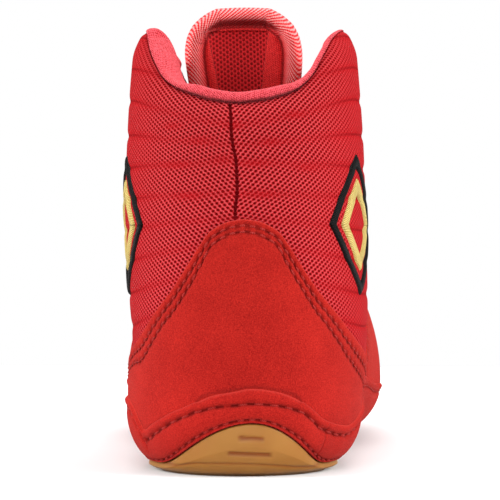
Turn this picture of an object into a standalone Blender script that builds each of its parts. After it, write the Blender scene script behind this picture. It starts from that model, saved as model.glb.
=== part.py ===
"""Right boxing shoe: a hollow mesh upper with suede overlays on a gum sole.

Every skin of the shoe comes from one wall function. A place on it is given by
its run, the distance round the wall from the back of the heel (lateral side
positive), and its level, -1 at the feather edge, 0 at the widest line and 1 at
the collar or throat edge. The toe points along +Y, lateral is +X.
"""
import math

import bmesh
import bpy
import numpy as np

MM = 0.001

for old in list(bpy.data.objects):
    bpy.data.objects.remove(old, do_unlink=True)

# Driving dimensions
LENGTH = 285 * MM
HEEL_AXIS_Y = 45 * MM
THROAT_END_Y = 197 * MM
BULGE_Z = 24 * MM
FEATHER_Z = 3.6 * MM
TOE_SPRING = 10 * MM
ARCH_RISE = 2.5 * MM
ARCH_SLOPE = 28 * MM
HEEL_FLAT_END = 74 * MM
FORE_FLAT_START = 146 * MM
FORE_FLAT_END = 195 * MM
WALL = 2.5 * MM
GAP = 0.35 * MM

# Run of the wall on one side: round the heel, along the side, round the toe
HEEL_RUN = 65 * MM
SIDE_RUN = THROAT_END_Y - HEEL_AXIS_Y
TOE_RUN = 115 * MM
HALF_RUN = HEEL_RUN + SIDE_RUN + TOE_RUN

# Plan and section roundness, as superellipse powers, and how far the wall draws in under its widest line
HEEL_POWER = 2.1
TOE_POWER = 2.2
VAMP_POWER = 2.4
UNDERCUT = 0.7

# Level sections of heel and ankle: height, back of the heel, half widths
SHAFT_SECTIONS = np.array([
    (24, 2.0, 37.5, 37.2),
    (42, 1.6, 40.2, 37.0),
    (55, 2.6, 40.6, 38.0),
    (72, 4.6, 40.4, 39.0),
    (88, 6.4, 40.1, 39.9),
    (105, 7.4, 39.7, 39.5),
    (121, 7.5, 38.9, 38.9),
    (140, 7.5, 37.6, 37.6),
]) * MM
SHAFT_Z, SHAFT_BACK, SHAFT_LATERAL, SHAFT_MEDIAL = SHAFT_SECTIONS.T

# Cross-sections of the foot: place, spine, half widths at the widest line and at the feather
FOOT_SECTIONS = np.array([
    (45, 0.0, 37.5, 37.2, 28.5, 29.4),
    (80, -1.8, 37.5, 38.2, 27.0, 27.0),
    (110, -3.2, 40.0, 38.2, 26.0, 25.0),
    (140, -4.8, 45.0, 42.0, 29.5, 29.5),
    (168, -6.4, 49.0, 46.3, 32.5, 35.0),
    (197, -8.2, 49.0, 47.6, 34.0, 37.0),
    (240, -10.0, 49.0, 47.6, 34.0, 37.0),
    (285, -10.5, 49.0, 47.6, 34.0, 37.0),
]) * MM
FOOT_Y, FOOT_SPINE, FOOT_LATERAL, FOOT_MEDIAL, FEATHER_LATERAL, FEATHER_MEDIAL = FOOT_SECTIONS.T

# Instep line: place and height; over the ankle it is where the side walls would meet
CREST_LINE = np.array([
    (45, 524), (60, 336), (72, 239), (80, 204), (90, 178), (97, 158),
    (120, 112), (150, 87), (197, 66), (240, 55), (285, 49),
]) * MM
CREST_Y, CREST_Z = CREST_LINE.T

# Top edge of the upper: run and height round the collar, then half gap of the throat
COLLAR_EDGE = np.array([
    (-145, 102.5), (-130, 118.5), (-117, 134), (-110, 138.5), (-100, 142.3), (-92, 144), (-80, 145), (-65, 144.8),
    (-57, 144.2), (-51, 142.8), (-48.5, 140.4), (-45.5, 137.8), (-41.8, 134.8), (-38.2, 131.9), (-32.8, 127.4),
    (-26.5, 124), (-18.2, 121.2), (-10, 119.1), (0, 118), (10, 119), (16, 120.2), (22.2, 122.2), (27.2, 125),
    (31.5, 128.7), (35.2, 132.9), (39.5, 137.2), (42.5, 139.7), (47.2, 142), (52.5, 143.5), (60, 144.6),
    (70, 145), (80, 145), (92, 144), (100, 142.3), (110, 138.5), (117, 134), (130, 118.5), (145, 102.5),
]) * MM
THROAT_GAP = np.array([(97, 22), (110, 17.5), (125, 15), (150, 13), (197, 10)]) * MM
THROAT_TOP_Y = 97 * MM
THROAT_BLEND = 28 * MM
BLEND_END_Y = 110 * MM
HEEL_TUCK = 9 * MM
TOE_TUCK = 12 * MM

# The padded wall rolls in towards its collar edge
ROLL_IN_SIDE = 3.6 * MM
ROLL_IN_BACK = 2.0 * MM
ROLL_DEPTH = 10 * MM
ROLL_FADE_Y = 52 * MM
ROLL_FADE = 30 * MM


def smooth(at, knots, values):
    """Monotone cubic curve through a table's points, level beyond its ends."""
    step = np.diff(knots)
    slope = np.diff(values) / step
    product = slope[:-1] * slope[1:]
    total = np.where(product > 0, slope[:-1] + slope[1:], 1)
    tangent = np.concatenate([slope[:1], np.where(product > 0, 2 * product / total, 0), slope[-1:]])
    at = np.clip(at, knots[0], knots[-1])
    i = np.clip(np.searchsorted(knots, at, side="right") - 1, 0, len(knots) - 2)
    f = (at - knots[i]) / step[i]
    start = (2 * f**3 - 3 * f**2 + 1) * values[i] + (f**3 - 2 * f**2 + f) * step[i] * tangent[i]
    return start + (3 * f**2 - 2 * f**3) * values[i + 1] + (f**3 - f**2) * step[i] * tangent[i + 1]


def ease(f):
    """Smooth step from 0 to 1."""
    f = np.clip(f, 0, 1)
    return f * f * (3 - 2 * f)


def crest_rise(y):
    """Height of the instep line over the widest line; its reciprocal is the smooth one."""
    return 1 / smooth(y, CREST_Y, 1 / (CREST_Z - BULGE_Z))


def lift_of(y):
    """Rise of the whole foot off the floor: the arch, then the toe spring."""
    down = ease((y - FORE_FLAT_START + ARCH_SLOPE) / ARCH_SLOPE)
    arch = ease((y - HEEL_FLAT_END) / ARCH_SLOPE) * (1 - down)
    toe = np.clip((y - FORE_FLAT_END) / (LENGTH - FORE_FLAT_END), 0, None)
    return ARCH_RISE * arch + TOE_SPRING * toe**2


def spine(y):
    """Sideways swing of the foot's middle line."""
    return smooth(y, FOOT_Y, FOOT_SPINE)


def frame_of(run):
    """Axis place and turn of the wall at a run: -90 degrees at the heel, 90 at the toe."""
    along = np.abs(run) - HEEL_RUN
    axis_y = HEEL_AXIS_Y + np.clip(along, 0, SIDE_RUN)
    past = np.maximum(along - SIDE_RUN, 0) / TOE_RUN
    return axis_y, (np.minimum(along / HEEL_RUN, 0) + past) * math.pi / 2


def by_side(run, lateral, medial):
    """Pick the lateral or the medial value."""
    return np.where(run >= 0, lateral, medial)


def reach(turn, side, end, power):
    """Radius of a superellipse with these half axes, at a turn."""
    across = (np.abs(np.cos(turn)) / side) ** power
    return (across + (np.abs(np.sin(turn)) / end) ** power) ** (-1 / power)


def radius(run, height):
    """Radius of the wall from its axis at a height, before it closes over the instep."""
    axis_y, turn = frame_of(run)
    shaft = by_side(run, smooth(height, SHAFT_Z, SHAFT_LATERAL), smooth(height, SHAFT_Z, SHAFT_MEDIAL))
    foot = by_side(run, smooth(axis_y, FOOT_Y, FOOT_LATERAL), smooth(axis_y, FOOT_Y, FOOT_MEDIAL))
    weight = ease((axis_y - HEEL_AXIS_Y) / (BLEND_END_Y - HEEL_AXIS_Y))
    side = shaft + (foot - shaft) * weight
    back = HEEL_AXIS_Y - smooth(height, SHAFT_Z, SHAFT_BACK)
    end = np.where(turn > 0, LENGTH - THROAT_END_Y, back)
    return reach(turn, side, end, np.where(turn > 0, TOE_POWER, HEEL_POWER))


def feather_radius(run):
    """Radius of the feather edge, where the upper meets the sole."""
    axis_y, turn = frame_of(run)
    side = by_side(run, smooth(axis_y, FOOT_Y, FEATHER_LATERAL), smooth(axis_y, FOOT_Y, FEATHER_MEDIAL))
    heel = HEEL_AXIS_Y - SHAFT_BACK[0] - HEEL_TUCK
    end = np.where(turn > 0, LENGTH - THROAT_END_Y - TOE_TUCK, heel)
    return reach(turn, side, end, np.where(turn > 0, TOE_POWER, HEEL_POWER))


def edge_angle(run):
    """Angle up the section at which the collar or throat edge lies."""
    axis_y, _ = frame_of(run)
    collar = smooth(run, *COLLAR_EDGE.T)
    by_height = np.arcsin(np.clip((collar - BULGE_Z) / crest_rise(axis_y), 0, 0.999))
    part = smooth(axis_y, *THROAT_GAP.T) / radius(run, np.full_like(axis_y, BULGE_Z))
    by_gap = np.arccos(np.clip(part, 0, 1) ** (VAMP_POWER / 2))
    return by_height + (by_gap - by_height) * ease((axis_y - THROAT_TOP_Y) / THROAT_BLEND)


def wall(run, level):
    """Points of the upper's outer face."""
    run, level = np.broadcast_arrays(np.asarray(run, float), np.asarray(level, float))
    axis_y, turn = frame_of(run)
    angle = np.where(level > 0, level * edge_angle(run), level * math.pi / 2)
    over = np.maximum(angle, 0)
    height = BULGE_Z + crest_rise(axis_y) * np.sin(over)
    r = radius(run, height) * np.cos(over) ** (2 / VAMP_POWER)
    collar = smooth(run, *COLLAR_EDGE.T)
    roll = ROLL_IN_BACK + (ROLL_IN_SIDE - ROLL_IN_BACK) * ease(np.abs(run) / HEEL_RUN)
    roll = roll * (1 - ease((axis_y - ROLL_FADE_Y) / ROLL_FADE))
    r = r - roll * np.clip(1 - (collar - height) / ROLL_DEPTH, 0, None) ** 2
    low = feather_radius(run)
    under = np.cos(angle) * (1 - UNDERCUT * (1 - np.cos(angle)))
    r = np.where(angle < 0, low + (r - low) * under, r)
    y = axis_y + r * np.sin(turn)
    z = BULGE_Z + crest_rise(np.maximum(y, axis_y)) * np.sin(over)
    z = np.where(angle < 0, BULGE_Z + (BULGE_Z - FEATHER_Z) * np.sin(angle), z)
    x = spine(y) + by_side(run, 1, -1) * r * np.cos(turn)
    return np.stack([x, y, z + lift_of(y)], axis=-1)


def slopes(run, level):
    """Change of the wall with run and with level, by central differences."""
    run, level = np.broadcast_arrays(np.asarray(run, float), np.asarray(level, float))
    run_step = 0.3 * MM
    level_step = 0.004
    by_run = (wall(run + run_step, level) - wall(run - run_step, level)) / (2 * run_step)
    by_level = (wall(run, level + level_step) - wall(run, level - level_step)) / (2 * level_step)
    return by_run, by_level


def unit(vectors):
    """Vectors at length one."""
    return vectors / np.linalg.norm(vectors, axis=-1, keepdims=True)


def skin(run, level, lift):
    """Points of the wall moved out along its normal."""
    normal = unit(np.cross(*slopes(run, level)))
    return wall(run, level) + normal * np.expand_dims(np.broadcast_to(lift, normal.shape[:-1]), -1)


def level_at(run, height):
    """Level of the wall at a height over the feather plane."""
    axis_y, turn = frame_of(run)
    y = axis_y + radius(run, np.full_like(axis_y, BULGE_Z)) * np.sin(turn)
    low = np.arcsin(np.clip((height - BULGE_Z) / (BULGE_Z - FEATHER_Z), -1, 0)) / (math.pi / 2)
    rise = crest_rise(np.maximum(y, axis_y))
    return low + np.arcsin(np.clip((height - BULGE_Z) / rise, 0, 0.95)) / edge_angle(run)


def level_below_edge(run, distance):
    """Level at a distance down the wall from its top edge."""
    levels = np.linspace(1, 0, 81)
    found = []
    for place, down in zip(run, np.broadcast_to(distance, run.shape)):
        points = wall(np.full(levels.shape, place), levels)
        length = np.concatenate([[0], np.cumsum(np.linalg.norm(np.diff(points, axis=0), axis=1))])
        found.append(np.interp(down, length, levels))
    return np.array(found)


# Columns of the skins, the same for every piece so that they stay parallel
SIDE_COLUMNS = np.concatenate([
    np.linspace(0, HEEL_RUN, 12)[:-1],
    np.linspace(HEEL_RUN, HEEL_RUN + SIDE_RUN, 12)[:-1],
    np.linspace(HEEL_RUN + SIDE_RUN, HALF_RUN, 14),
])
COLUMNS = np.concatenate([SIDE_COLUMNS, -SIDE_COLUMNS[-2:0:-1]])

collection = bpy.data.collections.new("boxing_shoe")
bpy.context.scene.collection.children.link(collection)
frame = bpy.data.objects.new("shoe_frame", None)
collection.objects.link(frame)


def material(name, colour, roughness):
    """One plain material for a piece."""
    made = bpy.data.materials.new(name)
    made.use_nodes = True
    shader = made.node_tree.nodes["Principled BSDF"]
    shader.inputs["Base Color"].default_value = (*colour, 1)
    shader.inputs["Roughness"].default_value = roughness
    shader.inputs["Metallic"].default_value = 0
    return made


def add_object(name, vertices, faces, colour, roughness):
    """A mesh object with its faces turned outward, under the shoe's frame."""
    mesh = bpy.data.meshes.new(name)
    mesh.from_pydata(np.asarray(vertices).tolist(), [], faces)
    made = bpy.data.objects.new(name, mesh)
    mesh.materials.append(material(name, colour, roughness))
    collection.objects.link(made)
    made.parent = frame
    return made


def face_outward(made):
    """Turn the faces of a closed mesh outward."""
    cage = bmesh.new()
    cage.from_mesh(made.data)
    bmesh.ops.recalc_face_normals(cage, faces=cage.faces)
    cage.to_mesh(made.data)
    cage.free()


def grid_faces(rows, columns, closed):
    """Quads of a grid of points; a closed grid joins its last column to its first."""
    quads = []
    for row in range(rows - 1):
        for column in range(columns if closed else columns - 1):
            after = (column + 1) % columns
            low, high = row * columns, (row + 1) * columns
            quads.append((low + column, low + after, high + after, high + column))
    return quads


def shell(name, points, closed, thickness, side, colour, roughness):
    """An open skin made solid: side is -1 inward or 1 outward of its points."""
    rows, columns, _ = points.shape
    made = add_object(name, points.reshape(-1, 3), grid_faces(rows, columns, closed), colour, roughness)
    solid = made.modifiers.new("wall", "SOLIDIFY")
    solid.thickness = thickness
    solid.offset = side
    solid.use_even_offset = True
    return made


def band(low, high, rows):
    """Levels between two edge lines, one row each."""
    return low + (high - low) * np.linspace(0, 1, rows)[:, None]


def plate(name, rings, low, high, colour, roughness):
    """A solid through closed rings of points, capped to a spine at its lowest and highest."""
    count = len(COLUMNS)
    axis_y, _ = frame_of(COLUMNS)
    stations = np.unique(axis_y.round(6))
    vertices = list(np.concatenate(rings))
    faces = grid_faces(len(rings), count, True)
    for ring_start, height in ((0, low), ((len(rings) - 1) * count, high)):
        first = len(vertices)
        vertices.extend(np.stack([spine(stations), stations, lift_of(stations) + height], axis=-1))
        for column in range(count):
            after = (column + 1) % count
            ends = [first + int(np.searchsorted(stations, axis_y[i].round(6))) for i in (column, after)]
            corners = [ring_start + column, ring_start + after, ends[1], ends[0]]
            faces.append(corners if ends[0] != ends[1] else corners[:3])
    made = add_object(name, vertices, faces, colour, roughness)
    face_outward(made)
    return made


def sweep(name, sections, colour, roughness):
    """A solid through closed sections, each a row of points, with flat ends."""
    count, size, _ = sections.shape
    faces = grid_faces(count, size, True)
    faces.append(tuple(range(size)))
    faces.append(tuple(range((count - 1) * size, count * size)))
    made = add_object(name, sections.reshape(-1, 3), faces, colour, roughness)
    face_outward(made)
    return made


MESH_RED = (0.62, 0.03, 0.05)
SUEDE_RED = (0.55, 0.03, 0.02)
JERSEY_RED = (0.75, 0.09, 0.10)
GUM = (0.55, 0.26, 0.09)
LACE_RED = (0.60, 0.03, 0.04)
BOARD_RED = (0.45, 0.02, 0.02)

# Upper: one hollow wall, open at collar, throat and underneath
LOWER_LEVELS = np.linspace(-1, 0, 4)
UPPER_LEVELS = np.array([0.13, 0.27, 0.40, 0.53, 0.65, 0.76, 0.85, 0.91, 0.96, 1.0])
UPPER_ROWS = np.concatenate([LOWER_LEVELS, UPPER_LEVELS])
shell("upper", wall(COLUMNS[None, :], UPPER_ROWS[:, None]), True, WALL, -1, MESH_RED, 0.8)

# Outsole: a plate that cups the feather and rises to a rounded peak at the heel
CUP_PEAK_Z = 17.4 * MM
CUP_SIDE_Z = 4.2 * MM
CUP_PEAK_RUN = 5 * MM
CUP_HALF_LATERAL = 36 * MM
CUP_HALF_MEDIAL = 42 * MM
CUP_POWER = 2.65
CUP_WALL = 1.2 * MM
SOLE_WALL = 2.4 * MM
SOLE_ROUND = 1.6 * MM


def cup_edge(run):
    """Height of the outsole's upper edge: a bell at the heel, a low rim elsewhere."""
    past = run - CUP_PEAK_RUN
    half = np.where(past > 0, CUP_HALF_LATERAL, CUP_HALF_MEDIAL)
    bell = np.cos(np.clip(past / half, -1, 1) * math.pi / 2) ** CUP_POWER
    return CUP_SIDE_Z + (CUP_PEAK_Z - CUP_SIDE_Z) * bell


def sole_ring(inset, height):
    """Ring inside the feather line at a height over the underside."""
    axis_y, turn = frame_of(COLUMNS)
    r = feather_radius(COLUMNS) - inset
    y = axis_y + r * np.sin(turn)
    x = spine(y) + by_side(COLUMNS, 1, -1) * r * np.cos(turn)
    return np.stack([x, y, lift_of(y) + height], axis=-1)


def outsole():
    """Gum plate with its heel cup."""
    top = level_at(COLUMNS, cup_edge(COLUMNS))
    rings = [sole_ring(SOLE_ROUND, 0)]
    for part, lift in ((0.0, SOLE_WALL), (0.35, SOLE_WALL), (0.7, SOLE_WALL), (1.0, CUP_WALL)):
        rings.append(skin(COLUMNS, -1 + (top + 1) * part, GAP + lift))
    for part in (1.0, 0.7, 0.35, 0.0):
        rings.append(skin(COLUMNS, -1 + (top + 1) * part, GAP))
    return plate("outsole", rings, 0, FEATHER_Z - GAP, GUM, 0.55)


outsole()

# Insole: lies on the outsole inside the feather edge
INSOLE_INSET = 2.4 * MM
INSOLE_THICKNESS = 3.6 * MM


def insole():
    """Foot bed."""
    low, high = FEATHER_Z, FEATHER_Z + INSOLE_THICKNESS
    rings = [sole_ring(INSOLE_INSET, low), sole_ring(INSOLE_INSET, high)]
    return plate("insole", rings, low, high, BOARD_RED, 0.9)


insole()

# Tongue: padded, curved across, with a rolled edge; it rises out of the throat
# rows: side shift, place, height, half width round the curve, radius of the curve
TONGUE_LINE = np.array([
    (-7.8, 190, 59.5, 20.0, 90),
    (-6.6, 170, 67.5, 22.0, 62),
    (-5.3, 150, 77.5, 21.5, 48),
    (-4.4, 132, 89.5, 20.0, 38),
    (-3.8, 117, 105.0, 18.0, 31),
    (-3.6, 107, 120.5, 17.5, 26),
    (-3.7, 100, 135.5, 19.5, 23),
    (-3.9, 95, 149.0, 21.0, 22),
    (-3.9, 92, 155.0, 20.0, 22),
    (-3.9, 90.5, 158.5, 16.5, 22),
]) * MM
# Half thickness across the tongue, by part of its half width
TONGUE_ACROSS = np.array([0.0, 0.3, 0.6, 0.78, 0.88, 0.95, 1.0])
TONGUE_HALF = np.array([2.2, 2.2, 2.2, 2.5, 3.0, 2.5, 0.6]) * MM
TONGUE_STATIONS = 14


def tongue():
    """Padded tongue swept along its middle line."""
    knots = np.linspace(0, 1, len(TONGUE_LINE))
    stations = np.linspace(0, 1, TONGUE_STATIONS)
    x, y, z, half, bend = (smooth(stations, knots, column) for column in TONGUE_LINE.T)
    line = np.stack([x, y, z], axis=-1)
    run = unit(np.gradient(line, axis=0))
    outward = unit(np.cross(np.broadcast_to((1.0, 0.0, 0.0), run.shape), -run))
    parts = np.concatenate([-TONGUE_ACROSS[:0:-1], TONGUE_ACROSS])
    thick = np.concatenate([TONGUE_HALF[:0:-1], TONGUE_HALF])
    around = np.concatenate([parts, parts[::-1]])
    offset = np.concatenate([thick, -thick[::-1]])
    turn = around[None, :] * (half / bend)[:, None]
    reach_out = bend[:, None] + offset[None, :]
    across = reach_out * np.sin(turn)
    outward_by = reach_out * np.cos(turn) - bend[:, None]
    sections = line[:, None, :] + outward[:, None, :] * outward_by[..., None]
    sections[..., 0] += across
    return sweep("tongue", sections, JERSEY_RED, 0.85)


tongue()

# Rand: suede strip all round, from the outsole's edge up to a line with a notch each side of the heel
RAND_TOP = np.array([
    (-330, 24), (-190, 23.5), (-120, 25.5), (-80, 25), (-60, 24.5), (-48, 23.6), (-43.4, 22.3), (-39.8, 19.6),
    (-35.9, 15), (-30.6, 16.6), (-20.6, 20.7), (-10.2, 25), (-1.4, 27.5), (4, 28.6), (10, 28.1), (16.2, 26.4),
    (22.8, 22.7), (28.8, 18.7), (34, 17.2), (44.2, 16), (50, 17), (57, 19), (66, 21.5), (82, 24), (120, 25.5),
    (190, 22.5), (330, 24),
]) * MM
RAND_THICKNESS = 1.7 * MM
RAND_ROWS = 5


def rand_top(run):
    """Height of the rand's upper line."""
    return smooth(run, *RAND_TOP.T)


def rand():
    """Strip from just over the outsole's edge to the upper line."""
    low = level_at(COLUMNS, cup_edge(COLUMNS) + GAP)
    high = level_at(COLUMNS, rand_top(COLUMNS))
    points = skin(COLUMNS[None, :], band(low, high, RAND_ROWS), GAP)
    return shell("rand", points, True, RAND_THICKNESS, 1, SUEDE_RED, 0.9)


rand()

# Heel counter: suede, rounded peak at the back, running down forward to the rand
COUNTER_TOP = np.array([
    (0, 81.1), (5, 80.3), (11.3, 77), (17.4, 68), (23.9, 58.6), (32.1, 50.4), (43.4, 42.3), (60, 35), (85, 20),
]) * MM
COUNTER_PEAK_RUN = 2.6 * MM
COUNTER_THICKNESS = 1.1 * MM
COUNTER_LEAST = 2 * MM
COUNTER_END = 85 * MM
COUNTER_ROWS = 7


def counter_top(run):
    """Height of the counter's upper line."""
    return smooth(np.abs(run - COUNTER_PEAK_RUN), *COUNTER_TOP.T)


def in_order(columns):
    """Columns from the medial to the lateral side by way of the heel."""
    return np.sort(columns)


def heel_counter():
    """Panel from just over the rand to the counter's upper line."""
    columns = in_order(COLUMNS[np.abs(COLUMNS) < COUNTER_END])
    columns = columns[counter_top(columns) > rand_top(columns) + COUNTER_LEAST]
    low = level_at(columns, rand_top(columns) + GAP)
    points = skin(columns[None, :], band(low, level_at(columns, counter_top(columns)), COUNTER_ROWS), GAP)
    return shell("heel_counter", points, False, COUNTER_THICKNESS, 1, SUEDE_RED, 0.9)


heel_counter()

# Eyestay: suede band round the throat
STAY_WIDTH = 15 * MM
STAY_THICKNESS = 1.1 * MM
STAY_START = 106 * MM
STAY_MARGIN = 0.8 * MM
STAY_ROWS = 4


def by_the_toe(start):
    """Columns from a run on the lateral side, round the toe, to the same run on the medial side."""
    lateral = SIDE_COLUMNS[SIDE_COLUMNS >= start]
    return np.concatenate([lateral, -lateral[-2::-1]])


def eyestay():
    """Band below the throat edge, round its toe end."""
    columns = by_the_toe(STAY_START)
    low = level_below_edge(columns, STAY_WIDTH)
    points = skin(columns[None, :], band(low, level_below_edge(columns, STAY_MARGIN), STAY_ROWS), GAP)
    return shell("eyestay", points, False, STAY_THICKNESS, 1, SUEDE_RED, 0.9)


eyestay()

# Toe overlay: suede panel over the forefoot, its back edge leaning forward up to the eyestay
TOE_PANEL_START = 138 * MM
TOE_PANEL_LEAN = 40 * MM
TOE_PANEL_ROWS = np.linspace(0, 1, 8) ** 1.2
TOE_PANEL_LIFT = 0.5 * MM
TOE_PANEL_THICKNESS = 1.0 * MM


def toe_overlay():
    """Panel whose columns close up towards the toe as its back edge leans forward."""
    columns = by_the_toe(TOE_PANEL_START)
    rows = []
    for part in TOE_PANEL_ROWS:
        start = TOE_PANEL_START + TOE_PANEL_LEAN * part
        closing = (HALF_RUN - start) / (HALF_RUN - TOE_PANEL_START)
        run = np.sign(columns) * (start + (np.abs(columns) - TOE_PANEL_START) * closing)
        low = level_at(run, rand_top(run) + GAP)
        rows.append(skin(run, low + (level_below_edge(run, STAY_WIDTH + GAP) - low) * part, TOE_PANEL_LIFT))
    return shell("toe_overlay", np.stack(rows), False, TOE_PANEL_THICKNESS, 1, SUEDE_RED, 0.9)


toe_overlay()

# Collar roll: padded jersey hooked over the collar edge and down the inside
# rows: distance out of the wall's face, distance up past its edge
ROLL_SECTION = np.array([
    (0.1, 0.5), (0.8, 1.8), (0.3, 3.6), (-2.2, 4.6), (-5.2, 3.6), (-7.4, 0.8), (-8.2, -5),
    (-7.4, -13), (-5.2, -19), (-3.5, -21.5), (-3.1, -19), (-3.1, -9), (-3.1, -4), (-3.1, 1.0),
]) * MM
ROLL_END = 113 * MM
ROLL_THIN_START = 70 * MM
ROLL_THIN_PART = 0.25


def collar_roll():
    """Padded roll swept along the collar edge, thinner towards the throat."""
    columns = in_order(COLUMNS[np.abs(COLUMNS) <= ROLL_END])
    by_run, by_level = slopes(columns, np.ones_like(columns))
    edge = np.gradient(wall(columns, 1), axis=0)
    normal = unit(np.cross(by_run, by_level))
    up = unit(np.cross(normal, edge))
    along = np.stack([unit(by_run), unit(by_level)], axis=-1)
    parts = np.stack([np.linalg.solve(pair.T @ pair, pair.T @ way) for pair, way in zip(along, up)])
    run_rate = parts[:, 0] / np.linalg.norm(by_run, axis=-1)
    level_rate = parts[:, 1] / np.linalg.norm(by_level, axis=-1)
    thin = ease((np.abs(columns) - ROLL_THIN_START) / (ROLL_END - ROLL_THIN_START))
    full = 1 - (1 - ROLL_THIN_PART) * thin
    sections = []
    for out, up_by in ROLL_SECTION:
        inner = ROLL_SECTION[-1, 0]
        lift = np.where(out < inner, inner + (out - inner) * full, out)
        sections.append(skin(columns + run_rate * up_by, 1 + level_rate * up_by, lift))
    return sweep("collar_roll", np.stack(sections, axis=1), JERSEY_RED, 0.85)


collar_roll()

# Lace: flat straps criss-crossed between the eyelets and joined in one solid
EYELET_RUNS = np.linspace(126, 208, 6) * MM
EYELET_FROM_EDGE = 7.5 * MM
LACE_HALF_WIDTH = 3 * MM
LACE_THICKNESS = 1.5 * MM
LACE_CLEAR = 0.8 * MM
LACE_LIFT = GAP + STAY_THICKNESS + LACE_CLEAR + LACE_THICKNESS / 2
UNDER_RISE = 0.1 * MM
OVER_RISE = 0.5 * MM
EDGE_SHARE = 0.3

cutters = bpy.data.collections.new("joined_straps")
bpy.context.scene.collection.children.link(cutters)


def strap_route(start, end, rise):
    """Points and normals of a strap from one eyelet to one on the other side."""
    places = []
    for run, other, share in ((start, end, 0), (start, end, 1), (end, start, 1), (end, start, 0)):
        at = np.sign(run) * (abs(run) + (abs(other) - abs(run)) * share * EDGE_SHARE)
        down = EYELET_FROM_EDGE * (1 - share)
        level = level_below_edge(np.array([at]), down)
        normal = unit(np.cross(*slopes(np.array([at]), level)))[0]
        places.append((skin(np.array([at]), level, LACE_LIFT + rise)[0], normal))
    middle = (places[1][0] + places[2][0]) / 2 + unit(places[1][1] + places[2][1]) * rise
    places.insert(2, (middle, unit(places[1][1] + places[2][1])))
    return np.array([place for place, _ in places]), np.array([normal for _, normal in places])


def strap(name, start, end, rise):
    """One flat strap."""
    line, normals = strap_route(start, end, rise)
    ahead = unit(np.gradient(line, axis=0))
    across = unit(np.cross(ahead, normals)) * LACE_HALF_WIDTH
    up = unit(np.cross(across, ahead)) * (LACE_THICKNESS / 2)
    line[0] -= ahead[0] * LACE_HALF_WIDTH
    line[-1] += ahead[-1] * LACE_HALF_WIDTH
    sections = np.stack([line + across + up, line - across + up, line - across - up, line + across - up], axis=1)
    return sweep(name, sections, LACE_RED, 0.8)


def lace():
    """A bar at the toe end, then crossings up to the top eyelets."""
    base = strap("lace", EYELET_RUNS[-1], -EYELET_RUNS[-1], 0)
    for row in range(len(EYELET_RUNS) - 1):
        low, high = EYELET_RUNS[row + 1], EYELET_RUNS[row]
        for name, start, end, rise in (("under", low, -high, UNDER_RISE), ("over", -low, high, OVER_RISE)):
            piece = strap(f"strap_{name}_{row}", start, end, rise)
            collection.objects.unlink(piece)
            cutters.objects.link(piece)
            piece.hide_render = True
            piece.display_type = "WIRE"
            union = base.modifiers.new(piece.name, "BOOLEAN")
            union.operation = "UNION"
            union.object = piece
    return base


lace()

# The frame's origin is under the middle of the shoe's box, on the floor
bpy.context.view_layer.update()
graph = bpy.context.evaluated_depsgraph_get()
solids = [piece.evaluated_get(graph) for piece in collection.objects if piece.type == "MESH"]
corners = np.array([vertex.co for piece in solids for vertex in piece.data.vertices])
frame.location = (
    -(corners[:, 0].min() + corners[:, 0].max()) / 2,
    -(corners[:, 1].min() + corners[:, 1].max()) / 2,
    -corners[:, 2].min(),
)
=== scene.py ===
"""Looks of a right boxing shoe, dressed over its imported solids.

The pieces come in the order in which the shoe is made: the mesh upper on its last,
insole and sole, suede overlays and their stitching, embroidery, collar, tongue, lace.
"""
import math
from functools import partial

import bmesh
import bpy
import numpy as np
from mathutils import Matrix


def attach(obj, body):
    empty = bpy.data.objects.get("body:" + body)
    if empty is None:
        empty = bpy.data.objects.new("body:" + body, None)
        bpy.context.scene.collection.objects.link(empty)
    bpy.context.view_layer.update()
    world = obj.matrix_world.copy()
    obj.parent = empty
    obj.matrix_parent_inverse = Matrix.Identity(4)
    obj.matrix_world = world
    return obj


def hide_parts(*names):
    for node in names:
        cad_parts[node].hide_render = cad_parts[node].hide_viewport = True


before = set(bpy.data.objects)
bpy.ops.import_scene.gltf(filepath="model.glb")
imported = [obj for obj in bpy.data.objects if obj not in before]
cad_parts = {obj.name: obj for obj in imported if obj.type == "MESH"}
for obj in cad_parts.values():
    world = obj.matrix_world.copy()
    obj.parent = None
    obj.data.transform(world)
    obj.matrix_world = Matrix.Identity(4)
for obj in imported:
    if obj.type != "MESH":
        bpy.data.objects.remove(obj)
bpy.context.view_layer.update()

# Upper: padded sandwich mesh over foam with a knitted lining, lasted to the foot form.
# It is one hollow wall, open at collar, throat and underneath, closed by a back seam
# and quilted across; the suede pieces are sewn on it later.
MM = 0.001
LENGTH = 285 * MM
HEEL_AXIS_Y = 45 * MM
THROAT_END_Y = 197 * MM
BULGE_Z = 24 * MM
FEATHER_Z = 3.6 * MM
TOE_SPRING = 10 * MM
ARCH_RISE = 2.5 * MM
ARCH_SLOPE = 28 * MM
HEEL_FLAT_END = 74 * MM
FORE_FLAT_START = 146 * MM
FORE_FLAT_END = 195 * MM
WALL = 2.5 * MM
GAP = 0.35 * MM
HEEL_RUN = 65 * MM
SIDE_RUN = THROAT_END_Y - HEEL_AXIS_Y
TOE_RUN = 115 * MM
HALF_RUN = HEEL_RUN + SIDE_RUN + TOE_RUN
HEEL_POWER = 2.1
TOE_POWER = 2.2
VAMP_POWER = 2.4
UNDERCUT = 0.7

# The last's tables start at the back of the heel; the frame's origin is under the middle of the shoe
ORIGIN = np.array([6.8715, -143.4512, 0.0]) * MM

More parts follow.
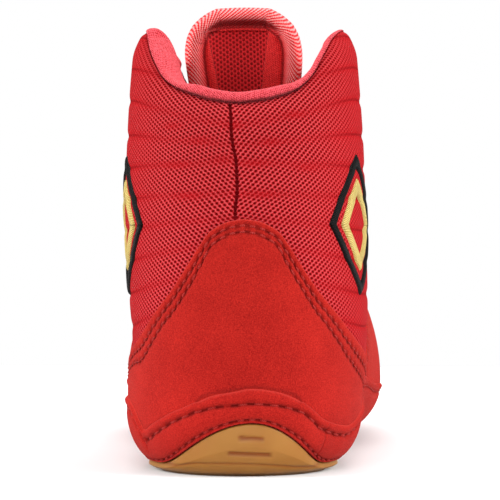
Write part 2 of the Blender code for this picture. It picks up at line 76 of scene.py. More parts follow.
# Level sections of heel and ankle: height, back of the heel, half widths
SHAFT_SECTIONS = np.array([
    (24, 2.0, 37.5, 37.2),
    (42, 1.6, 40.2, 37.0),
    (55, 2.6, 40.6, 38.0),
    (72, 4.6, 40.4, 39.0),
    (88, 6.4, 40.1, 39.9),
    (105, 7.4, 39.7, 39.5),
    (121, 7.5, 38.9, 38.9),
    (140, 7.5, 37.6, 37.6),
]) * MM
SHAFT_Z, SHAFT_BACK, SHAFT_LATERAL, SHAFT_MEDIAL = SHAFT_SECTIONS.T

# Cross-sections of the foot: place, spine, half widths at the widest line and at the feather
FOOT_SECTIONS = np.array([
    (45, 0.0, 37.5, 37.2, 28.5, 29.4),
    (80, -1.8, 37.5, 38.2, 27.0, 27.0),
    (110, -3.2, 40.0, 38.2, 26.0, 25.0),
    (140, -4.8, 45.0, 42.0, 29.5, 29.5),
    (168, -6.4, 49.0, 46.3, 32.5, 35.0),
    (197, -8.2, 49.0, 47.6, 34.0, 37.0),
    (240, -10.0, 49.0, 47.6, 34.0, 37.0),
    (285, -10.5, 49.0, 47.6, 34.0, 37.0),
]) * MM
FOOT_Y, FOOT_SPINE, FOOT_LATERAL, FOOT_MEDIAL, FEATHER_LATERAL, FEATHER_MEDIAL = FOOT_SECTIONS.T

# Instep line: place and height; over the ankle it is where the side walls would meet
CREST_LINE = np.array([
    (45, 524), (60, 336), (72, 239), (80, 204), (90, 178), (97, 158),
    (120, 112), (150, 87), (197, 66), (240, 55), (285, 49),
]) * MM
CREST_Y, CREST_Z = CREST_LINE.T

# Top edge of the upper: run and height round the collar, then half gap of the throat
COLLAR_EDGE = np.array([
    (-145, 102.5), (-130, 118.5), (-117, 134), (-110, 138.5), (-100, 142.3), (-92, 144), (-80, 145),
    (-65, 144.8), (-57, 144.2), (-51, 142.8), (-48.5, 140.4), (-45.5, 137.8), (-41.8, 134.8), (-38.2, 131.9),
    (-32.8, 127.4), (-26.5, 124), (-18.2, 121.2), (-10, 119.1), (0, 118), (10, 119), (16, 120.2),
    (22.2, 122.2), (27.2, 125), (31.5, 128.7), (35.2, 132.9), (39.5, 137.2), (42.5, 139.7), (47.2, 142),
    (52.5, 143.5), (60, 144.6), (70, 145), (80, 145), (92, 144), (100, 142.3), (110, 138.5), (117, 134),
    (130, 118.5), (145, 102.5),
]) * MM
THROAT_GAP = np.array([(97, 22), (110, 17.5), (125, 15), (150, 13), (197, 10)]) * MM
THROAT_TOP_Y = 97 * MM
THROAT_BLEND = 28 * MM
BLEND_END_Y = 110 * MM
HEEL_TUCK = 9 * MM
TOE_TUCK = 12 * MM
ROLL_IN_SIDE = 3.6 * MM
ROLL_IN_BACK = 2.0 * MM
ROLL_DEPTH = 10 * MM
ROLL_FADE_Y = 52 * MM
ROLL_FADE = 30 * MM


def smooth(at, knots, values):
    """Monotone cubic curve through a table's points, level beyond its ends."""
    step = np.diff(knots)
    slope = np.diff(values) / step
    product = slope[:-1] * slope[1:]
    total = np.where(product > 0, slope[:-1] + slope[1:], 1)
    tangent = np.concatenate([slope[:1], np.where(product > 0, 2 * product / total, 0), slope[-1:]])
    at = np.clip(at, knots[0], knots[-1])
    i = np.clip(np.searchsorted(knots, at, side="right") - 1, 0, len(knots) - 2)
    f = (at - knots[i]) / step[i]
    start = (2 * f**3 - 3 * f**2 + 1) * values[i] + (f**3 - 2 * f**2 + f) * step[i] * tangent[i]
    return start + (3 * f**2 - 2 * f**3) * values[i + 1] + (f**3 - f**2) * step[i] * tangent[i + 1]


def ease(f):
    """Smooth step from 0 to 1: 3f^2 - 2f^3."""
    f = np.clip(f, 0, 1)
    return f * f * (3 - 2 * f)


def bell(distance, width):
    """Soft ridge profile: exp of minus the squared distance over the width."""
    return np.exp(-(distance / width) ** 2)


def crest_rise(y):
    """Height of the instep line over the widest line; its reciprocal is the smooth one."""
    return 1 / smooth(y, CREST_Y, 1 / (CREST_Z - BULGE_Z))


def lift_of(y):
    """Rise of the whole foot off the floor: the arch, then the toe spring."""
    down = ease((y - FORE_FLAT_START + ARCH_SLOPE) / ARCH_SLOPE)
    arch = ease((y - HEEL_FLAT_END) / ARCH_SLOPE) * (1 - down)
    toe = np.clip((y - FORE_FLAT_END) / (LENGTH - FORE_FLAT_END), 0, None)
    return ARCH_RISE * arch + TOE_SPRING * toe**2


def spine(y):
    """Sideways swing of the foot's middle line."""
    return smooth(y, FOOT_Y, FOOT_SPINE)


def frame_of(run):
    """Axis place and turn of the wall at a run: -90 degrees at the heel, 90 at the toe."""
    along = np.abs(run) - HEEL_RUN
    axis_y = HEEL_AXIS_Y + np.clip(along, 0, SIDE_RUN)
    past = np.maximum(along - SIDE_RUN, 0) / TOE_RUN
    return axis_y, (np.minimum(along / HEEL_RUN, 0) + past) * math.pi / 2


def by_side(run, lateral, medial):
    """Pick the lateral or the medial value."""
    return np.where(run >= 0, lateral, medial)


def reach(turn, side, end, power):
    """Radius of a superellipse with these half axes, at a turn."""
    across = (np.abs(np.cos(turn)) / side) ** power
    return (across + (np.abs(np.sin(turn)) / end) ** power) ** (-1 / power)


def radius(run, height):
    """Radius of the wall from its axis at a height, before it closes over the instep."""
    axis_y, turn = frame_of(run)
    shaft = by_side(run, smooth(height, SHAFT_Z, SHAFT_LATERAL), smooth(height, SHAFT_Z, SHAFT_MEDIAL))
    foot = by_side(run, smooth(axis_y, FOOT_Y, FOOT_LATERAL), smooth(axis_y, FOOT_Y, FOOT_MEDIAL))
    side = shaft + (foot - shaft) * ease((axis_y - HEEL_AXIS_Y) / (BLEND_END_Y - HEEL_AXIS_Y))
    back = HEEL_AXIS_Y - smooth(height, SHAFT_Z, SHAFT_BACK)
    end = np.where(turn > 0, LENGTH - THROAT_END_Y, back)
    return reach(turn, side, end, np.where(turn > 0, TOE_POWER, HEEL_POWER))


def feather_radius(run):
    """Radius of the feather edge, where the upper meets the sole."""
    axis_y, turn = frame_of(run)
    side = by_side(run, smooth(axis_y, FOOT_Y, FEATHER_LATERAL), smooth(axis_y, FOOT_Y, FEATHER_MEDIAL))
    heel = HEEL_AXIS_Y - SHAFT_BACK[0] - HEEL_TUCK
    end = np.where(turn > 0, LENGTH - THROAT_END_Y - TOE_TUCK, heel)
    return reach(turn, side, end, np.where(turn > 0, TOE_POWER, HEEL_POWER))


def edge_angle(run):
    """Angle up the section at which the collar or throat edge lies."""
    axis_y, _ = frame_of(run)
    collar = smooth(run, *COLLAR_EDGE.T)
    by_height = np.arcsin(np.clip((collar - BULGE_Z) / crest_rise(axis_y), 0, 0.999))
    part = smooth(axis_y, *THROAT_GAP.T) / radius(run, np.full_like(axis_y, BULGE_Z))
    by_gap = np.arccos(np.clip(part, 0, 1) ** (VAMP_POWER / 2))
    return by_height + (by_gap - by_height) * ease((axis_y - THROAT_TOP_Y) / THROAT_BLEND)


def wall(run, level):
    """The last's outer face: at each turn of the run a section that bows out from the feather
    (level -1) to the widest line (0) and closes over the ankle or instep up to the edge (1)."""
    run, level = np.broadcast_arrays(np.asarray(run, float), np.asarray(level, float))
    axis_y, turn = frame_of(run)
    angle = np.where(level > 0, level * edge_angle(run), level * math.pi / 2)
    over = np.maximum(angle, 0)
    height = BULGE_Z + crest_rise(axis_y) * np.sin(over)
    r = radius(run, height) * np.cos(over) ** (2 / VAMP_POWER)
    collar = smooth(run, *COLLAR_EDGE.T)
    roll = ROLL_IN_BACK + (ROLL_IN_SIDE - ROLL_IN_BACK) * ease(np.abs(run) / HEEL_RUN)
    roll = roll * (1 - ease((axis_y - ROLL_FADE_Y) / ROLL_FADE))
    r = r - roll * np.clip(1 - (collar - height) / ROLL_DEPTH, 0, None) ** 2
    low = feather_radius(run)
    under = np.cos(angle) * (1 - UNDERCUT * (1 - np.cos(angle)))
    r = np.where(angle < 0, low + (r - low) * under, r)
    y = axis_y + r * np.sin(turn)
    z = BULGE_Z + crest_rise(np.maximum(y, axis_y)) * np.sin(over)
    z = np.where(angle < 0, BULGE_Z + (BULGE_Z - FEATHER_Z) * np.sin(angle), z)
    x = spine(y) + by_side(run, 1, -1) * r * np.cos(turn)
    return np.stack([x, y, z + lift_of(y)], axis=-1)


RUN_STEP = 0.3 * MM
LEVEL_STEP = 0.004


def slopes(run, level):
    """Change of the wall with run and with level, by central differences."""
    run, level = np.broadcast_arrays(np.asarray(run, float), np.asarray(level, float))
    by_run = (wall(run + RUN_STEP, level) - wall(run - RUN_STEP, level)) / (2 * RUN_STEP)
    by_level = (wall(run, level + LEVEL_STEP) - wall(run, level - LEVEL_STEP)) / (2 * LEVEL_STEP)
    return by_run, by_level


def unit(vectors):
    """Vectors at length one."""
    return vectors / np.linalg.norm(vectors, axis=-1, keepdims=True)


def wall_normal(run, level):
    """Outward normal of the wall: the cross product of its two slopes."""
    return unit(np.cross(*slopes(run, level)))


def skin(run, level, lift):
    """Points of the wall moved out along its normal."""
    run, level, lift = np.broadcast_arrays(run, level, lift)
    return wall(run, level) + wall_normal(run, level) * lift[..., None]


def level_at(run, height):
    """Level of the wall at a height over the feather plane."""
    axis_y, turn = frame_of(run)
    y = axis_y + radius(run, np.full_like(axis_y, BULGE_Z)) * np.sin(turn)
    low = np.arcsin(np.clip((height - BULGE_Z) / (BULGE_Z - FEATHER_Z), -1, 0)) / (math.pi / 2)
    rise = crest_rise(np.maximum(y, axis_y))
    return low + np.arcsin(np.clip((height - BULGE_Z) / rise, 0, 0.95)) / edge_angle(run)


def lengths(points, axis):
    """Distance along one axis of a grid of points, from its first row or column."""
    step = np.linalg.norm(np.diff(points, axis=axis), axis=-1)
    first = np.zeros_like(np.take(step, [0], axis=axis))
    return np.concatenate([first, np.cumsum(step, axis=axis)], axis=axis)


def level_below_edge(run, distance):
    """Level at a distance down the wall from its top edge."""
    levels = np.linspace(1, 0, 81)
    down = lengths(wall(run[:, None], levels[None, :]), 1)
    distance = np.broadcast_to(distance, run.shape)
    return np.array([np.interp(d, row, levels) for d, row in zip(distance, down)])


def grid_quads(rows, columns, closed, first=0):
    """Corner indices of a grid's quads; closed joins the ends of its rows."""
    start = np.arange(rows - 1)[:, None] * columns
    column = np.arange(columns if closed else columns - 1)[None, :]
    after = (column + 1) % columns
    corners = [start + column, start + after, start + columns + after, start + columns + column]
    return first + np.stack(np.broadcast_arrays(*corners), axis=-1).reshape(-1, 4)


WELD = 0.002 * MM


def add_mesh(name, points, quads, uv, materials, face_material=None, marks=None, flip=False):
    """A smooth mesh from arrays, its doubled edge points welded; uv is given point by point or corner by
    corner, face_material picks from the materials, and marks are named values at the points."""
    mesh = bpy.data.meshes.new(name)
    mesh.from_pydata((points.reshape(-1, 3) + ORIGIN).tolist(), [], quads.tolist())
    if uv.shape[:-1] != quads.shape:
        uv = uv.reshape(-1, 2)[quads]
    mesh.uv_layers.new(name="UVMap").data.foreach_set("uv", uv.reshape(-1).astype(np.float32))
    for mark, values in (marks or {}).items():
        layer = mesh.attributes.new(mark, "FLOAT", "POINT")
        layer.data.foreach_set("value", np.asarray(values, np.float32).reshape(-1))
    for material in materials:
        mesh.materials.append(material)
    if face_material is not None:
        mesh.polygons.foreach_set("material_index", face_material.astype(np.int32))
    cage = bmesh.new()
    cage.from_mesh(mesh)
    bmesh.ops.remove_doubles(cage, verts=cage.verts, dist=WELD)
    bmesh.ops.dissolve_degenerate(cage, edges=cage.edges, dist=WELD)
    if flip:
        bmesh.ops.reverse_faces(cage, faces=cage.faces)
    cage.to_mesh(mesh)
    cage.free()
    mesh.shade_smooth()
    piece = bpy.data.objects.new(name, mesh)
    bpy.context.scene.collection.objects.link(piece)
    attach(piece, "root")
    return piece


def linear(hex_colour):
    """Linear RGBA of an sRGB hex colour."""
    srgb = np.array([int(hex_colour[i:i + 2], 16) for i in (1, 3, 5)]) / 255
    return (*np.where(srgb > 0.04045, ((srgb + 0.055) / 1.055) ** 2.4, srgb / 12.92), 1.0)


def add_node(tree, kind, settings, sockets, output=None):
    """Add a shader node with its settings; its sockets, by name or in order, take values, hex colours or
    outputs to link. Gives back the named output, or the first one in use."""
    made = tree.nodes.new("ShaderNode" + kind)
    for name, value in settings.items():
        setattr(made, name, value)
    if not isinstance(sockets, dict):
        sockets = dict(zip([i for i, socket in enumerate(made.inputs) if socket.enabled], sockets))
    for socket, value in sockets.items():
        if isinstance(value, bpy.types.NodeSocket):
            tree.links.new(value, made.inputs[socket])
        else:
            made.inputs[socket].default_value = linear(value) if isinstance(value, str) else value
    if output:
        return made.outputs[output]
    return next((socket for socket in made.outputs if socket.enabled), None)


def new_material(name, shade, *looks):
    """A material whose shader comes from a function, which gets a way to add nodes and its own looks."""
    made = bpy.data.materials.new(name)
    made.use_nodes = True
    made.node_tree.nodes.clear()
    node = partial(add_node, made.node_tree)
    node("OutputMaterial", {}, [shade(node, *looks)])
    return made


ADD, SUBTRACT, MULTIPLY, MAXIMUM, COSINE, ABSOLUTE, ROUND, DOT = (
    {"operation": name} for name in ("ADD", "SUBTRACT", "MULTIPLY", "MAXIMUM", "COSINE", "ABSOLUTE", "ROUND",
                                     "DOT_PRODUCT"))
SOFT = {"interpolation_type": "SMOOTHSTEP"}
COLOURS = {"data_type": "RGBA"}
SURFACE_MAP = {"uv_map": "UVMap"}


def wave(node, place, cycles):
    """Cosine of a plane wave over a map in metres, with so many cycles a metre each way."""
    phase = node("VectorMath", DOT, [place, (*np.multiply(cycles, math.tau), 0)])
    return node("Math", COSINE, [phase])


def fine_cloth(node, waves, contrast, colours, depth, look):
    """Plain cloth: the product of its waves is the relief, and the tone between two colours."""
    uv = node("UVMap", SURFACE_MAP, [])
    height = wave(node, uv, waves[0])
    for cycles in waves[1:]:
        height = node("Math", MULTIPLY, [height, wave(node, uv, cycles)])
    tone = node("MapRange", SOFT, [height, *contrast, 0, 1])
    colour = node("Mix", COLOURS, [tone, *colours])
    bump = node("Bump", {}, {"Height": height, "Distance": depth})
    return node("BsdfPrincipled", {}, {"Base Color": colour, "Normal": bump, **look})


# Lattice of the spacer fabric's holes: cycles a metre away from the back seam and up, along the yarn
# lines and across them; the cloth turns a little as it goes round the ankle
YARN_CYCLES = (480, -600)
CROSS_CYCLES = (150, 880)
CLOTH_TURN = 4.0
QUILT_PITCH = 10.4 * MM


def sandwich_mesh(node):
    """Polyester spacer mesh: yarns in lines that rise away from the back seam, a painted highlight on their
    crests and painted shade in the holes between them, closed along the quilting and in the seam. Two
    lattice waves and their sum place the holes."""
    uv = node("UVMap", SURFACE_MAP, [])
    marks = {name: node("Attribute", {"attribute_name": name}, [], "Fac")
             for name in ("open", "row", "seam", "side")}
    yarn_turn, cross_turn = (
        node("VectorMath", DOT, [uv, (*np.multiply(cycles, math.tau), 0)])
        for cycles in (YARN_CYCLES, CROSS_CYCLES))
    bent = node("Math", MULTIPLY, [marks["seam"], marks["seam"]])
    bent = node("Math", MULTIPLY, [bent, CLOTH_TURN * CROSS_CYCLES[1] * math.tau])
    cross_turn = node("Math", ADD, [cross_turn, bent])
    both_turn = node("Math", ADD, [yarn_turn, cross_turn])
    lines, cross, both = (node("Math", COSINE, [turn])
                          for turn in (yarn_turn, cross_turn, both_turn))
    weight = node("MapRange", {}, [marks["side"], 0.0, 1.0, 1.0, 0.5])
    lines = node("Math", MULTIPLY, [lines, weight])
    knots = node("Math", MULTIPLY, [node("Math", ADD, [cross, both]), 0.55])
    depth = node("Math", ADD, [lines, knots])
    # Painted shade in the holes; the same mask sinks them in the bump
    hole_and_shade = node("MapRange", SOFT, [depth, -0.1, 1.5, 0.0, 1.0])
    hole_and_shade = node("Math", MULTIPLY, [hole_and_shade, marks["open"]])
    crown = node("MapRange", SOFT, [depth, 0.1, -1.2, 0.0, 1.0])
    # Painted highlight on the yarn crests, stronger where the mesh is open
    crest_highlight = node("MapRange", {}, [marks["open"], 0.2, 1.0, 0.1, 0.85])
    crest_highlight = node("Math", MULTIPLY, [crown, crest_highlight])
    where = node("TexCoord", {}, [], "Object")
    mottle = node("TexNoise", {}, {"Vector": where, "Scale": 1 / (6 * MM), "Detail": 2.0})
    yarn = node("Mix", COLOURS, [mottle, "#9C070E", "#AA0D14"])
    yarn = node("Mix", COLOURS, [crest_highlight, yarn, "#CC4E52"])
    cloth = node("Mix", COLOURS, [hole_and_shade, yarn, "#4C0000"])
    nearest = node("Math", ROUND, [marks["row"]])
    off = node("Math", SUBTRACT, [marks["row"], nearest])
    off = node("Math", ABSOLUTE, [off])
    off = node("Math", MULTIPLY, [off, QUILT_PITCH])
    line = node("MapRange", SOFT, [off, 0.2 * MM, 0.6 * MM, 0.5, 0.0])
    line = node("Math", MULTIPLY, [line, marks["side"]])
    from_seam = node("Math", ABSOLUTE, [marks["seam"]])
    seam = node("MapRange", SOFT, [from_seam, 0.3 * MM, 0.85 * MM, 0.9, 0.0])
    dark = node("Math", MAXIMUM, [line, seam])
    cloth = node("Mix", COLOURS, [dark, cloth, "#640004"])
    relief = node("Math", SUBTRACT, [crown, hole_and_shade])
    bump = node("Bump", {}, {"Height": relief, "Distance": 0.2 * MM, "Strength": 0.7})
    return node("BsdfPrincipled", {}, {
        "Base Color": cloth, "Roughness": 0.7, "Normal": bump, "Specular IOR Level": 0.04})


# Tricot lining: fine matt wales
LINING_PITCH = 1.1 * MM
knitted_lining = new_material(
    "knitted lining", fine_cloth, [(1 / LINING_PITCH, 0), (0, 1.25 / LINING_PITCH)], (-1, 1),
    ("#86101A", "#AE1822"), 0.15 * MM, {"Roughness": 0.8, "Sheen Weight": 0.15})

# Quilted grooves across the shaft: height at the back and at the sides, depth at the back and at the sides
QUILT = np.array([
    (111.0, 121.0, 0.12, 0.36),
    (104.5, 109.5, 0.12, 0.40),
    (99.3, 98.6, 0.16, 0.40),
    (89.0, 88.4, 0.14, 0.40),
    (81.0, 78.2, 0.12, 0.40),
    (73.0, 68.0, 0.10, 0.38),
    (64.0, 57.5, 0.10, 0.36),
    (55.0, 47.0, 0.10, 0.32),
]) * MM
QUILT_WIDTH = 1.3 * MM
QUILT_START = 16 * MM
QUILT_TURN = 56 * MM
QUILT_END = 128 * MM
QUILT_FADE = 30 * MM
QUILT_PUFF = 0.15 * MM
# Soft creases at the bend of the ankle: side, run and height of both ends, depth and width
CREASES = np.array([
    (1, 92, 62, 122, 82, 0.7, 5.0),
    (1, 98, 50, 128, 66, 0.5, 4.5),
    (-1, 90, 60, 120, 84, 0.7, 5.0),
    (-1, 98, 48, 128, 64, 0.5, 4.5),
])
CREASE_RIDGE = 0.4
CREASE_RIDGE_OFF = 1.6
# Back seam: height and run, then how deep it is drawn in and the ridges of the cloth beside it
SEAM_LINE = np.array([
    (60, 0), (82.3, -0.4), (85, -0.4), (87.4, 0), (91, 0.2), (95.5, 0), (99.1, -0.2), (102.1, -0.8),
    (104.5, -1.4), (109, -2.0), (113.5, -2.2), (117.7, -2.8),
]) * MM
SEAM_WIDTH = 0.55 * MM
SEAM_DEPTH = 0.9 * MM
SEAM_RIDGE = 0.3 * MM
SEAM_RIDGE_OFF = 1.7 * MM
SEAM_RIDGE_WIDTH = 1.0 * MM
EDGE_TUCK = 0.8 * MM
TUCK_WIDTH = 1.4 * MM
TUCK_END = 118 * MM


def quilt_heights(run):
    """Height of every groove at a run: it moves from its back height to its side height."""
    side = ease(np.abs(run) / QUILT_TURN)
    return QUILT[:, 0] + (QUILT[:, 1] - QUILT[:, 0]) * side[..., None]


def quilt_row(run, height):
    """Place between the grooves, counted down from the top one: whole numbers lie on a groove."""
    lines = quilt_heights(run)
    fall = lines[..., :-1] - height[..., None]
    between = np.clip(fall / (lines[..., :-1] - lines[..., 1:]), 0, 1).sum(axis=-1)
    above = np.clip((height - lines[..., 0]) / QUILT_PITCH, 0, None)
    below = np.clip((lines[..., -1] - height) / QUILT_PITCH, 0, None)
    return between - above + below


def padding(run, height):
    """Outward swell of the padded mesh: shallow puffs between grooves, a sewn back seam, soft creases."""
    side = ease((np.abs(run) - QUILT_START) / QUILT_TURN)
    depth = QUILT[:, 2] + (QUILT[:, 3] - QUILT[:, 2]) * side[..., None]
    groove = (depth * bell(height[..., None] - quilt_heights(run), QUILT_WIDTH)).max(axis=-1)
    swell = QUILT_PUFF * side - groove * (1 + QUILT_PUFF / QUILT[:, 3].max())
    swell = swell * (1 - ease((np.abs(run) - QUILT_END + QUILT_FADE) / QUILT_FADE))
    from_seam = run - smooth(height, *SEAM_LINE.T)
    swell = swell - SEAM_DEPTH * bell(from_seam, SEAM_WIDTH)
    swell = swell + SEAM_RIDGE * bell(np.abs(from_seam) - SEAM_RIDGE_OFF, SEAM_RIDGE_WIDTH)
    for way, run_0, height_0, run_1, height_1, deep, wide in CREASES:
        start, end = np.array([run_0, height_0]) * MM, np.array([run_1, height_1]) * MM
        at = np.stack([run * way, height], axis=-1) - start
        part = np.clip((at @ (end - start)) / ((end - start) @ (end - start)), 0, 1)
        off = np.linalg.norm(at - part[..., None] * (end - start), axis=-1)
        fade = np.sin(math.pi * np.clip(part, 0.02, 0.98))
        swell = swell - deep * MM * fade * bell(off, wide * MM)
        ridge = bell(off - CREASE_RIDGE_OFF * wide * MM, wide * MM)
        swell = swell + CREASE_RIDGE * deep * MM * fade * ridge
    return swell


# Heel counter's upper line, needed here because the padding ends under it
COUNTER_TOP = np.array([
    (0, 81.1), (5, 80.3), (8.2, 79), (11.3, 77), (14.4, 72.9), (17.4, 68), (20.5, 63.2), (23.9, 58.6),
    (28, 54.3), (32.1, 50.4), (37.3, 46), (43.4, 42.3), (60, 35), (85, 20),
]) * MM
COUNTER_PEAK_RUN = 2.6 * MM
COUNTER_BLEND = 3 * MM
UNDER_COUNTER = 0.2 * MM


def counter_top(run):
    """Height of the counter's upper line."""
    return smooth(np.abs(run - COUNTER_PEAK_RUN), *COUNTER_TOP.T)


def stretches(*parts):
    """Even steps along stretches that join, each given by its start, end and count."""
    return np.concatenate([*(np.linspace(*part)[:-1] for part in parts[:-1]), np.linspace(*parts[-1])])


def two_sided(values):
    """Runs from the heel round one side, then back along the other, without doubles."""
    return np.concatenate([values, -values[-2:0:-1]])


UPPER_COLUMNS = two_sided(
    stretches((0, 6, 16), (6, 65, 62), (65, 150, 60), (150, 217, 34), (217, 332, 40)) * MM)
OUTER_LEVELS = stretches((-1, 0, 9), (0, 0.9, 140), (0.9, 1, 20))
INNER_LEVELS = stretches((1, 0.9, 6), (0.9, -1, 22))[1:]
# How open the mesh shows at the sides and along the quilting there, and where the sides begin
MESH_OPEN_SIDE = 0.6
MESH_CLOSE_START = 18 * MM
MESH_CLOSE_BLEND = 40 * MM
SIDE_START = 22 * MM
SIDE_BLEND = 30 * MM
ROW_CLOSED_BACK = 0.25
ROW_CLOSED_SIDE = 0.35
PATCH_HALF_HEIGHT = 1.2 * MM
PATCH_CLOSED = 0.5
# Patches at the back where quilting has closed the mesh: run, height, half length
PLAIN_PATCHES = np.array([
    (-5.2, 100.3, 4), (-1.0, 110.5, 3), (6.4, 98.8, 5), (8.6, 88.9, 6), (20.8, 114.4, 5),
    (-13.2, 106.3, 5), (11.6, 105.8, 4), (-22, 98.5, 6), (25, 97.5, 5), (-17, 88.5, 5), (-24, 111, 4),
]) * MM


def upper():
    """The hollow wall: its padded outer face, a rounded rim and the lining inside."""
    run = np.broadcast_to(UPPER_COLUMNS, (len(OUTER_LEVELS), len(UPPER_COLUMNS)))
    outer = wall(run, OUTER_LEVELS[:, None])
    height = outer[..., 2] - lift_of(outer[..., 1])
    over_counter = ease((height - counter_top(run)) / COUNTER_BLEND)
    down = lengths(outer[::-1], 0)[::-1]
    swell = padding(run, height) * over_counter - UNDER_COUNTER * (1 - over_counter)
    swell = swell - EDGE_TUCK * bell(down, TUCK_WIDTH) * (np.abs(run) < TUCK_END)
    outer = skin(run, OUTER_LEVELS[:, None], swell)
    inner = skin(UPPER_COLUMNS, INNER_LEVELS[:, None], -WALL)
    rows = np.concatenate([outer, inner, outer[:1]])
    count = len(UPPER_COLUMNS)
    quads = grid_quads(len(rows), count, True)
    up = lengths(outer, 0)
    v = np.concatenate([up, lengths(inner[::-1], 0)[::-1], up[:1]])
    from_seam = run - smooth(height, *SEAM_LINE.T)
    inner_run = np.broadcast_to(UPPER_COLUMNS, inner.shape[:2])
    u = np.abs(np.concatenate([from_seam, inner_run, run[:1]]))
    face_material = np.repeat(np.arange(len(rows) - 1) >= len(outer) - 1, count)
    side = ease((np.abs(run) - SIDE_START) / SIDE_BLEND)
    opened = 1 - (1 - MESH_OPEN_SIDE) * ease((np.abs(run) - MESH_CLOSE_START) / MESH_CLOSE_BLEND)
    row = quilt_row(run, height)
    in_row = bell((row - np.round(row)) * QUILT_PITCH, QUILT_WIDTH)
    opened = opened * (1 - (ROW_CLOSED_BACK + ROW_CLOSED_SIDE * side) * in_row)
    for patch_run, patch_height, half in PLAIN_PATCHES:
        closed = bell(height - patch_height, PATCH_HALF_HEIGHT) * bell(run - patch_run, half)
        opened = opened * (1 - PATCH_CLOSED * closed)
    blank = np.zeros(inner.shape[:2])
    marks = {name: np.concatenate([values, blank, values[:1]])
             for name, values in (("open", opened), ("row", row), ("seam", from_seam), ("side", side))}
    cloths = [new_material("sandwich mesh", sandwich_mesh), knitted_lining]
    piece = add_mesh("mesh_upper", rows, quads, np.stack([u, v], axis=-1), cloths, face_material, marks)
    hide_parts("upper")


upper()

# Insole: die-cut foam board with a brushed fabric face, laid on the sole inside the upper.
INSOLE_INSET = 2.4 * MM
INSOLE_THICKNESS = 3.6 * MM
INSOLE_ROUND = 0.8 * MM


def sole_ring(run, inset, height):
    """Ring inside the feather line, at a height over the sole's underside."""
    axis_y, turn = frame_of(run)
    r = feather_radius(run) - inset
    y = axis_y + r * np.sin(turn)
    x = spine(y) + by_side(run, 1, -1) * r * np.cos(turn)
    return np.stack(np.broadcast_arrays(x, y, lift_of(y) + height), axis=-1)


def spine_points(run, height):
    """The middle line under each run, at a height over the sole's underside."""
    axis_y, _ = frame_of(run)
    return np.stack(np.broadcast_arrays(spine(axis_y), axis_y, lift_of(axis_y) + height), axis=-1)


def fill_in(run, ring, height, parts):
    """Rows from the spine (part 0) out to a ring (part 1), following the rise of the sole between."""
    middle = spine_points(run, height)
    rows = middle + (ring - middle) * parts[:, None, None]
    rows[..., 2] = lift_of(rows[..., 1]) + height
    return rows


# Brushed knit laminated to the foam board: a soft crossed rib; cycles a metre
INSOLE_RIB = (700, 480)
insole_fabric = new_material(
    "brushed insole fabric", fine_cloth, [INSOLE_RIB, (INSOLE_RIB[0], -INSOLE_RIB[1])], (-1, 1),
    ("#7E0C10", "#A5161B"), 0.15 * MM, {"Roughness": 0.9, "Sheen Weight": 0.2})


def insole():
    """A rounded plate."""
    run = two_sided(np.linspace(0, HALF_RUN, 160))
    low, high = FEATHER_Z, FEATHER_Z + INSOLE_THICKNESS
    parts = np.linspace(0, 1, 14)
    bottom = fill_in(run, sole_ring(run, INSOLE_INSET, low), low, parts)
    top = fill_in(run, sole_ring(run, INSOLE_INSET + INSOLE_ROUND, high), high, parts[::-1])
    edge = [sole_ring(run, INSOLE_INSET, high - INSOLE_ROUND),
            sole_ring(run, INSOLE_INSET + 0.3 * INSOLE_ROUND, high - 0.3 * INSOLE_ROUND)]
    rows = np.concatenate([bottom, np.stack(edge), top])
    quads = grid_quads(len(rows), len(run), True)
    piece = add_mesh("insole_board", rows, quads, rows[..., :2], [insole_fabric])
    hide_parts("insole")


insole()

# Outsole: gum rubber, compression moulded in one piece with its peaked heel cup, and glued
# to the lasted upper. The cup has two engraved lines and a mould parting line, the underside
# a shallow zigzag tread.
CUP_PEAK_Z = 17.4 * MM
CUP_SIDE_Z = 4.2 * MM
CUP_PEAK_RUN = 5 * MM
CUP_HALF_LATERAL = 36 * MM
CUP_HALF_MEDIAL = 42 * MM
CUP_POWER = 2.65
CUP_WALL = 1.2 * MM
CUP_THIN_PART = 0.7
SOLE_WALL = 2.4 * MM
SOLE_ROUND = 1.6 * MM
# Engraved lines of the cup: height, middle and half length along the run, and a slight fall to one side
CUP_LINES = np.array([(13.4, 4.7, 4.1), (8.9, 4.3, 7.1)]) * MM
CUP_LINE_FALL = 0.04
CUP_LINE_HALF = 0.6 * MM
CUP_LINE_DEPTH = 0.6 * MM
CUP_LINE_SOFT = 0.4 * MM
CUP_LINE_END = 0.8 * MM
# Mould parting line: run and height
PARTING = np.array([(-46, 4.3), (-26, 4.7), (-12, 6.0), (1, 6.1), (11, 5.6), (23, 4.7), (40, 4.3)]) * MM
PARTING_WIDTH = 0.35 * MM
PARTING_DEPTH = 0.3 * MM
PARTING_FADE = 8 * MM
# Strength of the painted shade in the parting line
PARTING_SHADE = 0.7
TREAD_PITCH = 5.5 * MM
TREAD_ZIGZAG = 13 * MM
TREAD_DEPTH = 0.8 * MM
TREAD_SLANT = 0.6
# The grooves' width as a level of the wave and its flank, and where they fade out on the way to the rim
TREAD_LEVEL = 0.35
TREAD_FLANK = 0.4
TREAD_END = 0.9
TREAD_FADE = 0.06


def cup_edge(run):
    """Height of the outsole's upper edge: a bell at the heel, a low rim elsewhere."""
    past = run - CUP_PEAK_RUN
    half = np.where(past > 0, CUP_HALF_LATERAL, CUP_HALF_MEDIAL)
    rise = np.cos(np.clip(past / half, -1, 1) * math.pi / 2) ** CUP_POWER
    return CUP_SIDE_Z + (CUP_PEAK_Z - CUP_SIDE_Z) * rise


